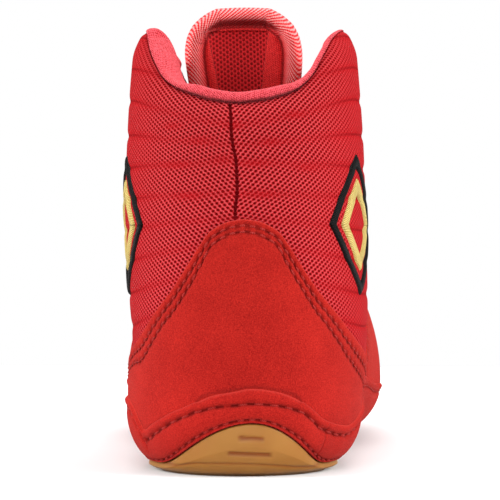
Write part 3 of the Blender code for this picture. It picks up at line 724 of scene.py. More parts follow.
def gum_rubber(node):
    """Gum rubber: a satin moulded face, a little cloudy, with painted shade in the engraving and the parting
    line.
    """
    where = node("TexCoord", {}, [], "Object")
    cloud = node("TexNoise", {}, {"Vector": where, "Scale": 1 / (12 * MM), "Detail": 3.0})
    grain = node("TexNoise", {}, {"Vector": where, "Scale": 1 / (0.5 * MM), "Detail": 1.0})
    engraved = node("Attribute", {"attribute_name": "engraved"}, [], "Fac")
    gum = node("Mix", COLOURS, [cloud, "#965F1E", "#A6742E"])
    # Painted shade in the engraved lines and the parting line
    colour = node("Mix", COLOURS, [engraved, gum, "#844404"])
    bump = node("Bump", {}, {"Height": grain, "Distance": 0.03 * MM, "Strength": 0.6})
    return node("BsdfPrincipled", {}, {
        "Base Color": colour, "Roughness": 0.5, "Normal": bump, "Subsurface Weight": 0.05,
        "Subsurface Scale": 2 * MM, "Specular IOR Level": 0.4,
    })


def tread(x, y):
    """Depth of the zigzag grooves at a place under the sole: bands that follow a triangle wave."""
    zigzag = np.abs((x / TREAD_ZIGZAG) % 2 - 1) * TREAD_ZIGZAG * TREAD_SLANT
    ripple = np.cos(2 * math.pi * (y + zigzag) / TREAD_PITCH)
    return TREAD_DEPTH * ease((ripple - TREAD_LEVEL) / TREAD_FLANK)


def outsole():
    """Rows from the underside's spine out, up the side to the cup's edge, and back over the top."""
    run = two_sided(stretches((0, 60, 110), (60, 332, 190)) * MM)
    top = level_at(run, cup_edge(run))
    parts = np.concatenate([np.linspace(0, 0.95, 40), [0.97, 1.0]])
    under = fill_in(run, sole_ring(run, SOLE_ROUND, 0), 0, parts)
    inside = 1 - ease((parts[:, None] - TREAD_END) / TREAD_FADE)
    under[..., 2] += tread(under[..., 0], under[..., 1]) * inside
    part = stretches((0, CUP_THIN_PART, 44), (CUP_THIN_PART, 1, 14))[:, None]
    level = -1 + (top + 1) * part
    thin = np.clip((part - CUP_THIN_PART) / (1 - CUP_THIN_PART), 0, 1)
    lift = GAP + SOLE_WALL + (CUP_WALL - SOLE_WALL) * thin
    plain = wall(run, level)
    height = plain[..., 2] - lift_of(plain[..., 1])
    lines = np.zeros_like(height)
    for line_z, middle, half in CUP_LINES:
        off = np.abs(height - line_z + CUP_LINE_FALL * (run - middle))
        across = ease((CUP_LINE_HALF + CUP_LINE_SOFT / 2 - off) / CUP_LINE_SOFT)
        lines = np.maximum(lines, across * ease((half - np.abs(run - middle)) / CUP_LINE_END))
    ends = ease((run - PARTING[0, 0]) / PARTING_FADE) * ease((PARTING[-1, 0] - run) / PARTING_FADE)
    parting = bell(height - smooth(run, *PARTING.T), PARTING_WIDTH) * ends
    sides = skin(run, level, lift - CUP_LINE_DEPTH * lines - PARTING_DEPTH * parting)
    rim = skin(run, top, (GAP + CUP_WALL * np.array([0.75, 0.35, 0.0]))[:, None])
    inner = skin(run, (-1 + (top + 1) * np.linspace(0.8, 0, 5)[:, None]), GAP)
    lid = fill_in(run, inner[-1], FEATHER_Z - GAP, np.linspace(1, 0, 10)[1:])
    rows = np.concatenate([under, sides, rim, inner, lid])
    quads = grid_quads(len(rows), len(run), True)
    engraved = np.zeros(rows.shape[:2])
    # Painted shade in the engraved lines and, weaker, in the parting line
    engraved[len(under):len(under) + len(sides)] = np.maximum(lines, PARTING_SHADE * parting)
    piece = add_mesh("gum_outsole", rows, quads, rows[..., :2], [new_material("gum rubber", gum_rubber)],
                     None, {"engraved": engraved})
    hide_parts("outsole")


outsole()

# Suede overlays: split cowhide about 1.1 mm thick, cut to shape and sewn on the upper with two
# rows of polyester thread. The nap shows a fine speckle; the cut edge is paler than the face, partly
# its pale core and partly a painted highlight.
EDGE_STEPS = np.array([0, 0.06, 0.2, 0.4, 0.65, 1.0]) * MM
EDGE_ROUND = 0.7 * MM


def suede(node):
    """Napped split leather: fine fibre speckle over a soft mottle, a soft rim of nap, a paler cut edge that
    is partly its pale core and partly a painted highlight, and painted shade in the thread channels, slots,
    grooves and pits."""
    where = node("TexCoord", {}, [], "Object")
    brushed, speckle, fibre = (
        node("TexNoise", {}, {"Vector": where, "Scale": 1 / size, "Detail": detail})
        for size, detail in ((14 * MM, 2.0), (0.4 * MM, 3.0), (0.22 * MM, 2.0)))
    brushed = node("Math", MULTIPLY, [brushed, 0.2])
    grain = node("Math", MULTIPLY, [speckle, 0.8])
    tone = node("Math", ADD, [brushed, grain])
    tone = node("MapRange", SOFT, [tone, 0.25, 0.75, 0, 1])
    face = node("Mix", COLOURS, [tone, "#860A06", "#BA231A"])
    cut = node("Attribute", {"attribute_name": "cut"}, [], "Fac")
    # Paler cut edge: partly the pale core, partly a painted highlight
    pale = node("MapRange", SOFT, [cut, 0.15 * MM, 0.55 * MM, 0.25, 0.0])
    face = node("Mix", COLOURS, [pale, face, "#DE4C42"])
    pressed = node("Attribute", {"attribute_name": "pressed"}, [], "Fac")
    # Painted shade in thread channels, stitch slots, grooves, under the rand's edge and in eyelet pits
    face = node("Mix", COLOURS, [pressed, face, "#4E0404"])
    nap = node("Math", ADD, [fibre, speckle])
    bump = node("Bump", {}, {"Height": nap, "Distance": 0.2 * MM, "Strength": 0.8})
    return node("BsdfPrincipled", {}, {
        "Base Color": face, "Roughness": 0.95, "Normal": bump, "Specular IOR Level": 0.15,
        "Sheen Weight": 0.12, "Sheen Roughness": 0.5, "Sheen Tint": "#FF7A70",
    })


suede_face = new_material("red suede", suede)


def edge_rows(width, middle):
    """Distances across a strip of each width: close together at both edges, even between."""
    far = EDGE_STEPS[-1]
    between = far + (width - 2 * far) * np.linspace(0, 1, middle)[1:-1, None]
    low = np.broadcast_to(EDGE_STEPS[:, None], (len(EDGE_STEPS), len(width)))
    return np.concatenate([low, between, width - low[::-1]])


def strip(run, low, high, samples, middle, least=0):
    """Levels and distances across a strip between two levels at each run, in rows close at both edges."""
    width = lengths(wall(run, low + (high - low) * np.linspace(0, 1, samples)[:, None]), 0)[-1]
    across = edge_rows(np.maximum(width, least), middle)
    return low + (high - low) * across / across[-1], across


def rounded(edge):
    """Share of the full thickness at a distance from the cut edge: a quarter circle."""
    return np.sqrt(1 - (1 - np.clip(edge / EDGE_ROUND, 0, 1)) ** 2)


def overlay(name, node, run, level, edge, cut, thickness, relief, pressed, closed, base=GAP):
    """A suede piece over the wall: its face stands off by the thickness, rounds down to the wall at
    every edge and carries the relief of its stitching; its back lies on the wall. cut is the distance
    from an edge that is painted paler, partly its pale core and partly a painted highlight; the darkening
    mark is painted shade."""
    face = skin(run, level, base + thickness * rounded(edge) + relief * ease(edge / MM))
    rows, columns = face.shape[:2]
    kept = np.append(np.arange(0, rows - 1, 3), rows - 1)
    back = skin(run, level, base)[kept]
    quads = np.concatenate([grid_quads(rows, columns, closed),
                            grid_quads(len(kept), columns, closed, rows * columns)[:, ::-1]])
    points = np.concatenate([face, back])
    flat = np.stack([lengths(face, 1), lengths(face, 0)], axis=-1)
    uv = np.concatenate([flat, flat[kept]])
    marks = {"cut": np.concatenate([cut, np.full(back.shape[:2], MM)]),
             "pressed": np.concatenate([pressed, np.zeros(back.shape[:2])])}
    piece = add_mesh(name, points, quads, uv, [suede_face], None, marks)
    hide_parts(node)


# Stitching: polyester thread laid in rows, every stitch a short bowed tube that dips into the suede;
# between two stitches the thread runs underneath and leaves a slot, painted dark as shade
THREAD = 0.34 * MM
SLOT_SHARE = 0.27
SLOT_MARGIN = 0.05
SLOT_SOFT = 0.09
SLOT_WIDTH = 0.5 * MM
SLOT_DEPTH = 0.45 * MM
# Painted shade in the slots and along the thread channel
SLOT_SHADE = 0.8
CHANNEL_WIDTH = 0.6 * MM
CHANNEL_SHADE = 0.15
STITCH_HALF = 0.56
stitch_rows = []


def stitched(across, along, line, pitch, deep):
    """Relief and painted shade of a stitch row at a distance from an edge: a channel, with a slot at every
    whole pitch along it."""
    channel = bell(across - line, CHANNEL_WIDTH)
    off = np.abs(along / pitch - np.round(along / pitch))
    slot = bell(across - line, SLOT_WIDTH) * ease((SLOT_SHARE + SLOT_MARGIN - off) / SLOT_SOFT)
    return -deep * channel - SLOT_DEPTH * slot, np.maximum(CHANNEL_SHADE * channel, SLOT_SHADE * slot)


def stitched_rows(*rows):
    """Relief and painted shade of several stitch rows together."""
    relief, pressed = zip(*(stitched(*row) for row in rows))
    return sum(relief), np.maximum.reduce(pressed)


def sew(run, level, along, lift, pitch):
    """Note a row of stitches between the slots along a line of the wall."""
    points, normals = skin(run, level, lift), wall_normal(run, level)
    first, last = np.ceil(along[0] / pitch), np.floor(along[-1] / pitch)
    middle = (np.arange(first, last) + 0.5) * pitch
    part = np.linspace(-1, 1, 9)
    at = middle[:, None] + part * (STITCH_HALF - SLOT_SHARE) * pitch
    line = np.stack([np.interp(at, along, points[:, i]) for i in range(3)], axis=-1)
    normal = unit(np.stack([np.interp(at, along, normals[:, i]) for i in range(3)], axis=-1))
    bow = THREAD * (1.3 * np.sqrt(1 - part**2 * 0.98) - 0.9)
    stitch_rows.append((line + normal * bow[:, None], normal, np.sqrt(1 - part**2 * 0.75)))


def at_row(values, across, line):
    """Values of a grid at a distance from its edge, column by column."""
    return np.array([np.interp(line, a, v) for a, v in zip(across.T, values.T)])


# Rand: one suede strip all round, folded in under the upper's edge and sewn twice; its upper line
# dips to a notch each side of the heel, and the back piece laps over the front one at the lateral notch.
RAND_TOP = np.array([
    (-330, 24), (-190, 23.5), (-120, 25.5), (-80, 25), (-60, 24.5), (-48, 23.6), (-43.4, 22.3),
    (-39.8, 19.6), (-37.4, 16.6), (-35.9, 14.8), (-34.4, 15.1), (-30.6, 16.6), (-25, 18.8), (-20.6, 20.7),
    (-16.8, 22.1), (-13.4, 23.5), (-10.2, 25), (-7.2, 26.3), (-4.4, 27), (-1.4, 27.5), (1.4, 28.1),
    (4, 28.6), (7.2, 28.5), (10, 28.1), (13, 27.5), (16.2, 26.4), (19.4, 24.8), (22.8, 22.7), (25.6, 20.8),
    (28.8, 18.7), (34, 17.2), (39.6, 16.3), (44.2, 16), (50, 17), (57, 19), (66, 21.5), (82, 24),
    (120, 25.5), (190, 22.5), (330, 24),
]) * MM
RAND_THICKNESS = 1.7 * MM
RAND_TOP_ROW = 2.8 * MM
RAND_LOW_ROW = 1.7 * MM
RAND_STITCH = 4.8 * MM
RAND_LOW_STITCH = 3.4 * MM
RAND_CHANNEL = 0.5 * MM
RAND_SINK = 0.45 * MM
RAND_LOW_CHANNEL = 0.35 * MM
RAND_LIP = 0.45 * MM
RAND_LIP_AT = 1.3 * MM
RAND_LIP_WIDTH = 0.8 * MM
RAND_CROWN = 0.7 * MM
# The back piece laps over the front one here: run, and how far the lap leans with height
LAP_RUN = 31 * MM
LAP_LEAN = 0.17
LAP_STEP = 0.4 * MM
LAP_SOFT = 0.5 * MM
LAP_LENGTH = 5 * MM
LAP_FADE = 8 * MM
LAP_GROOVE = 0.35 * MM
LAP_GROOVE_WIDTH = 0.4 * MM
# Strength of the painted shade in the lap groove
LAP_SHADE = 0.6


def rand_top(run):
    """Height of the rand's upper line."""
    return smooth(run, *RAND_TOP.T)


def square_to_edge(distance, edge_line):
    """Distance from a slanting edge, from the distance along the columns that meet it: less by the
    cosine of the edge's slant."""
    step = np.gradient(edge_line, axis=0)
    rise = np.abs(step[:, 2]) / np.linalg.norm(step, axis=-1)
    return distance * np.sqrt(np.clip(1 - rise**2, 0.05, 1))


def rand():
    """The strip with a welt above its upper stitch row and a soft crown below it."""
    run = two_sided(stretches((0, 70, 190), (70, 332, 300)) * MM)
    low, high = level_at(run, cup_edge(run) + GAP), level_at(run, rand_top(run))
    level, across = strip(run, low, high, 12, 24)
    from_top = square_to_edge(across[-1] - across, wall(run, high))
    from_low = square_to_edge(across, wall(run, low))
    edge = np.minimum(from_low, from_top)
    along_top, along_low = (lengths(wall(run, level_line)[None], 1)[0] for level_line in (high, low))
    relief, pressed = stitched_rows((from_top, along_top, RAND_TOP_ROW, RAND_STITCH, RAND_CHANNEL),
                                    (from_low, along_low, RAND_LOW_ROW, RAND_LOW_STITCH, RAND_LOW_CHANNEL))
    between = (from_top - RAND_TOP_ROW) / np.maximum(from_top + from_low - RAND_TOP_ROW - RAND_LOW_ROW, MM)
    lap = run - LAP_RUN + LAP_LEAN * (from_top - RAND_TOP_ROW)
    step = LAP_STEP * ease(0.5 + lap / LAP_SOFT) * (1 - ease((lap - LAP_LENGTH) / LAP_FADE))
    groove = bell(lap, LAP_GROOVE_WIDTH) * ease((from_top - 0.5 * MM) / MM)
    relief = relief + RAND_LIP * bell(from_top - RAND_LIP_AT, RAND_LIP_WIDTH) - step - LAP_GROOVE * groove
    relief = relief + RAND_CROWN * np.sin(math.pi * np.clip(between, 0, 1))
    # Painted shade in the lap groove, together with the stitch shade
    pressed = np.maximum(pressed, LAP_SHADE * groove)
    overlay("suede_rand", "rand", run, level, edge, from_top, RAND_THICKNESS, relief, pressed, True)
    top_row = at_row(level[::-1], from_top[::-1], RAND_TOP_ROW)
    low_row = at_row(level, from_low, RAND_LOW_ROW)
    sew(run, top_row, along_top, GAP + RAND_THICKNESS - RAND_SINK, RAND_STITCH)
    sew(run, low_row, along_low, GAP + RAND_THICKNESS - RAND_LOW_CHANNEL, RAND_LOW_STITCH)


rand()

# Heel counter: suede, one piece with a rounded peak at the back seam, double-stitched along its edge.
COUNTER_THICKNESS = 1.1 * MM
COUNTER_ROWS = np.array([2.1, 4.1]) * MM
COUNTER_STITCH = 3.1 * MM
COUNTER_ROOM = 3 * MM
COUNTER_MEDIAL = -74 * MM
COUNTER_LATERAL = 78 * MM
UNDER_RAND = 1.2 * MM
OVER_RAND = 0.6 * MM
RAND_SHADE = 0.55
RAND_SHADE_WIDTH = 0.45 * MM
OVERLAY_CHANNEL = 0.25 * MM


def heel_counter():
    """The panel between the rand's upper line and its own."""
    run = np.linspace(COUNTER_MEDIAL, COUNTER_LATERAL, 380)
    top = np.maximum(counter_top(run), rand_top(run) + OVER_RAND)
    low, high = level_at(run, rand_top(run) + GAP - UNDER_RAND), level_at(run, top)
    level, across = strip(run, low, high, 30, 70, 2.2 * EDGE_STEPS[-1])
    from_top = square_to_edge(across[-1] - across, wall(run, high))
    ends = np.minimum(run - run[0], run[-1] - run)
    edge = np.minimum(np.minimum(across, from_top), ends)
    along = lengths(wall(run, high)[None], 1)[0]
    relief, pressed = stitched_rows(
        *((from_top, along, line, COUNTER_STITCH, OVERLAY_CHANNEL) for line in COUNTER_ROWS))
    by_rand = square_to_edge(across, wall(run, low)) - UNDER_RAND
    # Painted shadow of the rand's raised edge on the counter
    pressed = np.maximum(pressed, RAND_SHADE * bell(by_rand, RAND_SHADE_WIDTH))
    overlay("suede_counter", "heel_counter", run, level, edge, from_top, COUNTER_THICKNESS, relief, pressed,
            False)
    for line in COUNTER_ROWS:
        at = at_row(level[::-1], from_top[::-1], line)
        room = from_top[0] > line + COUNTER_ROOM
        sew(run[room], at[room], along[room], GAP + COUNTER_THICKNESS - OVERLAY_CHANNEL, COUNTER_STITCH)


heel_counter()

# Eyestay: suede band round the throat, punched with six eyelets a side and stitched along both edges.
STAY_WIDTH = 15 * MM
STAY_THICKNESS = 1.1 * MM
STAY_START = 106 * MM
STAY_MARGIN = 0.8 * MM
STAY_ROW = 2.0 * MM
STAY_STITCH = 3.1 * MM
EYELET_RUNS = np.linspace(126, 208, 6) * MM
EYELET_FROM_EDGE = 7.5 * MM
EYELET_RADIUS = 2.1 * MM
EYELET_DEPTH = 0.9 * MM
EYELET_RIM = 0.25 * MM
EYELET_RIM_WIDTH = 0.6 * MM


def by_the_toe(start, side, toe):
    """Runs from a start on the lateral side, round the toe, to the same run on the medial side."""
    half = stretches((start, HEEL_RUN + SIDE_RUN, side), (HEEL_RUN + SIDE_RUN, HALF_RUN, toe))
    return np.concatenate([half, -half[-2::-1]])


def eyestay():
    """The band below the throat edge, with a pit at every eyelet."""
    run = by_the_toe(STAY_START, 190, 60)
    low, high = level_below_edge(run, STAY_WIDTH), level_below_edge(run, STAY_MARGIN)
    level, across = strip(run, low, high, 12, 34)
    from_top = across[-1] - across
    points = wall(run, level)
    along_top, along_low = (lengths(points[row][None], 1)[0] for row in (-1, 0))
    ends = np.minimum(along_top, along_top[-1] - along_top)
    edge = np.minimum(np.minimum(across, from_top), ends)
    relief, pressed = stitched_rows((from_top, along_top, STAY_ROW, STAY_STITCH, OVERLAY_CHANNEL),
                                    (across, along_low, STAY_ROW, STAY_STITCH, OVERLAY_CHANNEL))
    for place in np.concatenate([EYELET_RUNS, -EYELET_RUNS]):
        at = level_below_edge(np.array([place]), EYELET_FROM_EDGE)
        off = np.linalg.norm(points - wall(np.array([place]), at), axis=-1)
        pit = 1 - ease((off - EYELET_RADIUS + 0.5 * MM) / MM)
        rim = bell(off - EYELET_RADIUS - EYELET_RIM_WIDTH, EYELET_RIM_WIDTH)
        relief = relief - EYELET_DEPTH * pit + EYELET_RIM * rim
        # Painted shade in the eyelet pits
        pressed = np.maximum(pressed, pit)
    overlay("suede_eyestay", "eyestay", run, level, edge, edge, STAY_THICKNESS, relief, pressed, False)
    lift = GAP + STAY_THICKNESS - OVERLAY_CHANNEL
    sew(run, at_row(level, across, STAY_ROW), along_low, lift, STAY_STITCH)
    sew(run, at_row(level[::-1], from_top[::-1], STAY_ROW), along_top, lift, STAY_STITCH)


eyestay()

# Toe overlay: suede forefoot panel between rand and eyestay, its back edge leaning forward, double-stitched.
TOE_PANEL_START = 138 * MM
TOE_PANEL_LEAN = 40 * MM
TOE_PANEL_LIFT = 0.5 * MM
TOE_PANEL_LAP = 0.8 * MM
TOE_PANEL_THICKNESS = 1.0 * MM
TOE_PANEL_ROWS = np.array([2.1, 4.3]) * MM
# Flex lines over the ball of the foot: place of the middle, slant, depth, width
FLEX = np.array([(186, 0.10, 0.45, 4.5), (197, 0.16, 0.35, 4.0)])
FLEX_RIDGE = 0.5
FLEX_RIDGE_OFF = 7 * MM


def toe_overlay():
    """The panel whose columns close up towards the toe as its back edge leans forward."""
    columns = by_the_toe(TOE_PANEL_START, 110, 90)
    ends = np.concatenate([EDGE_STEPS, np.linspace(1.5, 5.6, 8) * MM])
    columns = np.concatenate([TOE_PANEL_START + ends[:-1], columns[8:-8], -(TOE_PANEL_START + ends[-2::-1])])
    part = stretches((0, 0.02, 5), (0.02, 0.98, 50), (0.98, 1, 5))
    start = TOE_PANEL_START + TOE_PANEL_LEAN * part[:, None]
    closing = (HALF_RUN - start) / (HALF_RUN - TOE_PANEL_START)
    run = np.sign(columns) * (start + (np.abs(columns) - TOE_PANEL_START) * closing)
    low = level_at(run, rand_top(run) + GAP - UNDER_RAND)
    high = np.stack([level_below_edge(row, STAY_WIDTH + GAP - TOE_PANEL_LAP) for row in run])
    level = low + (high - low) * part[:, None]
    points = wall(run, level)
    along, across = lengths(points, 1), lengths(points, 0)
    lean = (unit(np.gradient(points, axis=0)) * unit(np.gradient(points, axis=1))).sum(axis=-1)
    from_ends = np.minimum(along, along[:, -1:] - along) * np.sqrt(np.clip(1 - lean**2, 0.05, 1))
    edge = np.minimum(np.minimum(across, across[-1] - across), from_ends)
    back_edge = lengths(points[:, :1], 0)
    relief, pressed = stitched_rows(
        *((from_ends, back_edge, line, COUNTER_STITCH, OVERLAY_CHANNEL) for line in TOE_PANEL_ROWS))
    for place, slant, deep, wide in FLEX:
        off = points[..., 1] - place * MM - slant * (points[..., 0] - spine(points[..., 1]))
        ridges = bell(np.abs(off) - FLEX_RIDGE_OFF, wide * MM)
        relief = relief - deep * MM * bell(off, wide * MM) + FLEX_RIDGE * deep * MM * ridges
    overlay("suede_toe_panel", "toe_overlay", run, level, edge, from_ends, TOE_PANEL_THICKNESS, relief,
            pressed, False, TOE_PANEL_LIFT)
    lift = TOE_PANEL_LIFT + TOE_PANEL_THICKNESS - OVERLAY_CHANNEL
    inside = slice(5, -5)
    for line in TOE_PANEL_ROWS:
        for half, way in ((slice(0, 40), 1), (slice(-40, None), -1)):
            distance = from_ends[:, half][:, ::way].T
            at_run, at_level = (at_row(grid[:, half][:, ::way].T, distance, line) for grid in (run, level))
            sew(at_run[inside], at_level[inside], back_edge[inside, 0], lift, COUNTER_STITCH)


toe_overlay()

# Twisted polyester sewing thread: two plies that catch the light; cycles a metre along and round it
PLY_CYCLES = (1600, 1100)
bonded_thread = new_material(
    "red bonded thread", fine_cloth, [PLY_CYCLES], (-1, 1), ("#8A0E0A", "#B2261E"), 0.08 * MM,
    {"Roughness": 0.65, "Specular IOR Level": 0.3})


def suede_stitching():
    """All stitches of the suede as tubes: a ring of points carried along each bowed stitch."""
    line = np.concatenate([row[0] for row in stitch_rows])
    normal = np.concatenate([row[1] for row in stitch_rows])
    taper = np.concatenate([np.broadcast_to(row[2], row[0].shape[:2]) for row in stitch_rows])
    ahead = unit(np.gradient(line, axis=1))
    across = unit(np.cross(ahead, normal))
    turn = np.linspace(0, 2 * math.pi, 8)[:-1]
    ring = across[:, :, None] * np.cos(turn)[:, None] + normal[:, :, None] * np.sin(turn)[:, None]
    points = line[:, :, None] + ring * (THREAD * taper)[:, :, None, None]
    stitches, steps, around = points.shape[:3]
    one = grid_quads(steps, around, True)
    quads = (one[None] + (np.arange(stitches) * steps * around)[:, None, None]).reshape(-1, 4)
    length = np.broadcast_to(lengths(line, 1)[:, :, None], points.shape[:3])
    uv = np.stack([length, np.broadcast_to(turn * THREAD, length.shape)], axis=-1)
    piece = add_mesh("suede_stitching", points, quads, uv, [bonded_thread], flip=True)


suede_stitching()

# Embroidery: a plain ornament on each side panel, one lozenge outline in another, black and gold,
# satin-stitched through the mesh over a thin pad before the upper is closed.
ORNAMENT_RUNS = {"lateral": 50 * MM, "medial": -54 * MM}
ORNAMENT_Z = 80 * MM
ORNAMENT_HALF_WIDTH = 17 * MM
ORNAMENT_HALF_HEIGHT = 23 * MM
ORNAMENT_RISE = 0.8 * MM
ORNAMENT_CORNER = 1.12
# Outer and inner side of each outline, as a share of the whole
OUTLINES = ((1.0, 0.8), (0.66, 0.42))
SATIN_PITCH = 0.55 * MM


def satin_stitch(node, face, crest_sheen):
    """Rayon thread laid side by side across the stroke: a painted sheen along every thread's crest,
    unevenly.
    """
    uv = node("UVMap", SURFACE_MAP, [])
    laid = wave(node, uv, (1 / SATIN_PITCH, 0.3 / SATIN_PITCH))
    uneven = node("TexNoise", {}, {"Vector": uv, "Scale": 1 / (1.2 * MM), "Detail": 2.0})
    tone = node("Math", ADD, [laid, uneven])
    tone = node("MapRange", SOFT, [tone, -0.5, 1.5, 0, 1])
    colour = node("Mix", COLOURS, [tone, face, crest_sheen])
    bump = node("Bump", {}, {"Height": laid, "Distance": 0.15 * MM})
    return node("BsdfPrincipled", {}, {
        "Base Color": colour, "Roughness": 0.5, "Normal": bump, "Specular IOR Level": 0.15})


# Each stitch: the thread's own colour, then its painted sheen
satin = [new_material("black satin stitch", satin_stitch, "#020202", "#0C0A0A"),
         new_material("gold satin stitch", satin_stitch, "#B8983C", "#F0DC90")]


def ornament(side, middle):
    """Two raised outlines that follow |x| + |z| = 1, their corners softened; each rises in a half round."""
    turn = np.linspace(0, 2 * math.pi, 161)[:-1]
    power = ORNAMENT_CORNER
    corner = (np.abs(np.cos(turn)) ** power + np.abs(np.sin(turn)) ** power) ** (-1 / power)
    across = np.linspace(-1, 1, 15)[:, None]
    rise = ORNAMENT_RISE * (1 - across**4) - 0.2 * MM * across**8
    points, uv, quads, thread = [], [], [], []
    for index, (outer, inner) in enumerate(OUTLINES):
        share = (outer + inner) / 2 + (outer - inner) / 2 * across
        run = middle + ORNAMENT_HALF_WIDTH * share * corner * np.cos(turn)
        height = ORNAMENT_Z + ORNAMENT_HALF_HEIGHT * share * corner * np.sin(turn)
        points.append(skin(run, level_at(run, height), padding(run, height) * 0.5 + rise))
        round_it = lengths(np.concatenate([points[-1], points[-1][:, :1]], axis=1), 1)[7, :-1]
        uv.append(np.stack(np.broadcast_arrays(round_it, lengths(points[-1], 0)), axis=-1))
        quads.append(grid_quads(len(across), len(turn), True, index * len(across) * len(turn)))
        thread.append(np.full(len(quads[-1]), index))
    quads = np.concatenate(quads)
    piece = add_mesh(f"embroidery_{side}", np.concatenate(points), quads, np.concatenate(uv), satin,
                     np.concatenate(thread), flip=middle < 0)


for ornament_side, ornament_run in ORNAMENT_RUNS.items():
    ornament(ornament_side, ornament_run)

# Collar roll: foam in brushed jersey, sewn to the collar edge inside out and turned over it.
# Its sections at the back, on the slope and at the wings give the distance out of the wall's face
# and the distance up past its edge.
ROLL_BACK = np.array([
    (0.1, 0.5), (0.7, 1.8), (0.2, 3.6), (-2.2, 4.6), (-5.2, 3.6), (-7.4, 0.8), (-8.2, -5),
    (-7.4, -13), (-5.2, -19), (-3.5, -21.5), (-3.1, -19), (-3.1, -9), (-3.1, -4), (-3.1, 1.0),
]) * MM
ROLL_SLOPE = np.array([
    (-0.2, 0.1), (-0.5, 1.2), (-2.4, 2.2), (-6.2, 2.7), (-9.8, 2.2), (-11.5, -0.5), (-11.2, -5),
    (-9.4, -13), (-6, -19), (-3.6, -21.5), (-3.1, -19), (-3.1, -9), (-3.1, -4), (-3.1, 0.6),
]) * MM
ROLL_WING = np.array([
    (-0.5, -0.2), (-0.8, 0.5), (-2.1, 0.8), (-3.6, 0.4), (-5, -1), (-6, -3.4), (-6.4, -7),
    (-6.4, -13), (-5.4, -19), (-3.6, -21.5), (-3.1, -19), (-3.1, -9), (-3.1, -4), (-3.1, 0.2),
]) * MM
# Runs between which the sections change, and how far each side follows
SLOPE_START = 16 * MM
SLOPE_FULL = 38 * MM
SLOPE_END_LATERAL = 56 * MM
SLOPE_END_MEDIAL = 66 * MM
SLOPE_FADE = 28 * MM
SLOPE_LATERAL = 0.4
UPRIGHT_LATERAL = 0.2
WING_START = 15 * MM
WING_FULL = 45 * MM
# The roll thins towards the throat, swells on the medial slope and closes at its ends
ROLL_MIDDLE = -3.0 * MM
ROLL_END = 113 * MM
ROLL_THIN_START = 48 * MM
ROLL_THIN_PART = 0.25
ROLL_SWELL = 0.65
ROLL_SWELL_AT = 40 * MM
ROLL_SWELL_WIDTH = 13 * MM
ROLL_CLOSE = 4 * MM
# Its inner face is evened over some columns each way, from a depth on; below the edge it turns to the wall
ROLL_COLUMNS = 300
ROLL_POINTS = 72
ROLL_EVEN = 9
ROLL_EVEN_DEPTH = 5 * MM
ROLL_TURN_START = 1 * MM
ROLL_TURN = 7 * MM
# Shade in the seam and on the jersey beside it: strength, then width in points of the section
SEAM_SHADE = (0.6, 0.9)
NEAR_SHADE = (0.25, 5)
JERSEY_PITCH = 0.85 * MM


def jersey(node, dark, light):
    """Brushed polyester jersey: slanting wales with a fuzzy speckle, and painted shade at its seams and
    creases.
    """
    uv = node("UVMap", SURFACE_MAP, [])
    wale = wave(node, uv, (0.88 / JERSEY_PITCH, 0.47 / JERSEY_PITCH))
    course = wave(node, uv, (-0.32 / JERSEY_PITCH, 0.6 / JERSEY_PITCH))
    where = node("TexCoord", {}, [], "Object")
    fuzz = node("TexNoise", {}, {"Vector": where, "Scale": 1 / (0.9 * MM), "Detail": 3.0})
    knit = node("Math", MULTIPLY, [wale, course])
    tone = node("Math", ADD, [node("Math", MULTIPLY, [knit, 0.3]), fuzz])
    tone = node("MapRange", SOFT, [tone, 0.25, 0.65, 0, 1])
    colour = node("Mix", COLOURS, [tone, dark, light])
    crease = node("Attribute", {"attribute_name": "crease"}, [], "Fac")
    # Painted shade where the crease mark is set
    colour = node("Mix", COLOURS, [crease, colour, "#5A060A"])
    relief = node("Math", ADD, [knit, fuzz])
    bump = node("Bump", {}, {"Height": relief, "Distance": 0.15 * MM})
    return node("BsdfPrincipled", {}, {
        "Base Color": colour, "Roughness": 0.8, "Normal": bump, "Specular IOR Level": 0.25,
        "Sheen Weight": 0.2, "Sheen Roughness": 0.4, "Sheen Tint": "#FFB0B0",
    })


def curve(knots, count, closed):
    """Points of a Catmull-Rom curve through a row of knots, closed or with its ends included."""
    spans = len(knots) if closed else len(knots) - 1
    at = np.linspace(0, spans, count, endpoint=not closed)
    i = np.minimum(at.astype(int), spans - 1)
    f = (at - i)[:, None]
    if closed:
        ring = np.concatenate([knots[-1:], knots, knots[:2]])
    else:
        ring = np.concatenate([2 * knots[:1] - knots[1:2], knots, 2 * knots[-1:] - knots[-2:-1]])
    a, b, c, d = (ring[i + k] for k in range(4))
    return 0.5 * (2 * b + (c - a) * f + (2 * a - 5 * b + 4 * c - d) * f**2 + (3 * b - a - 3 * c + d) * f**3)


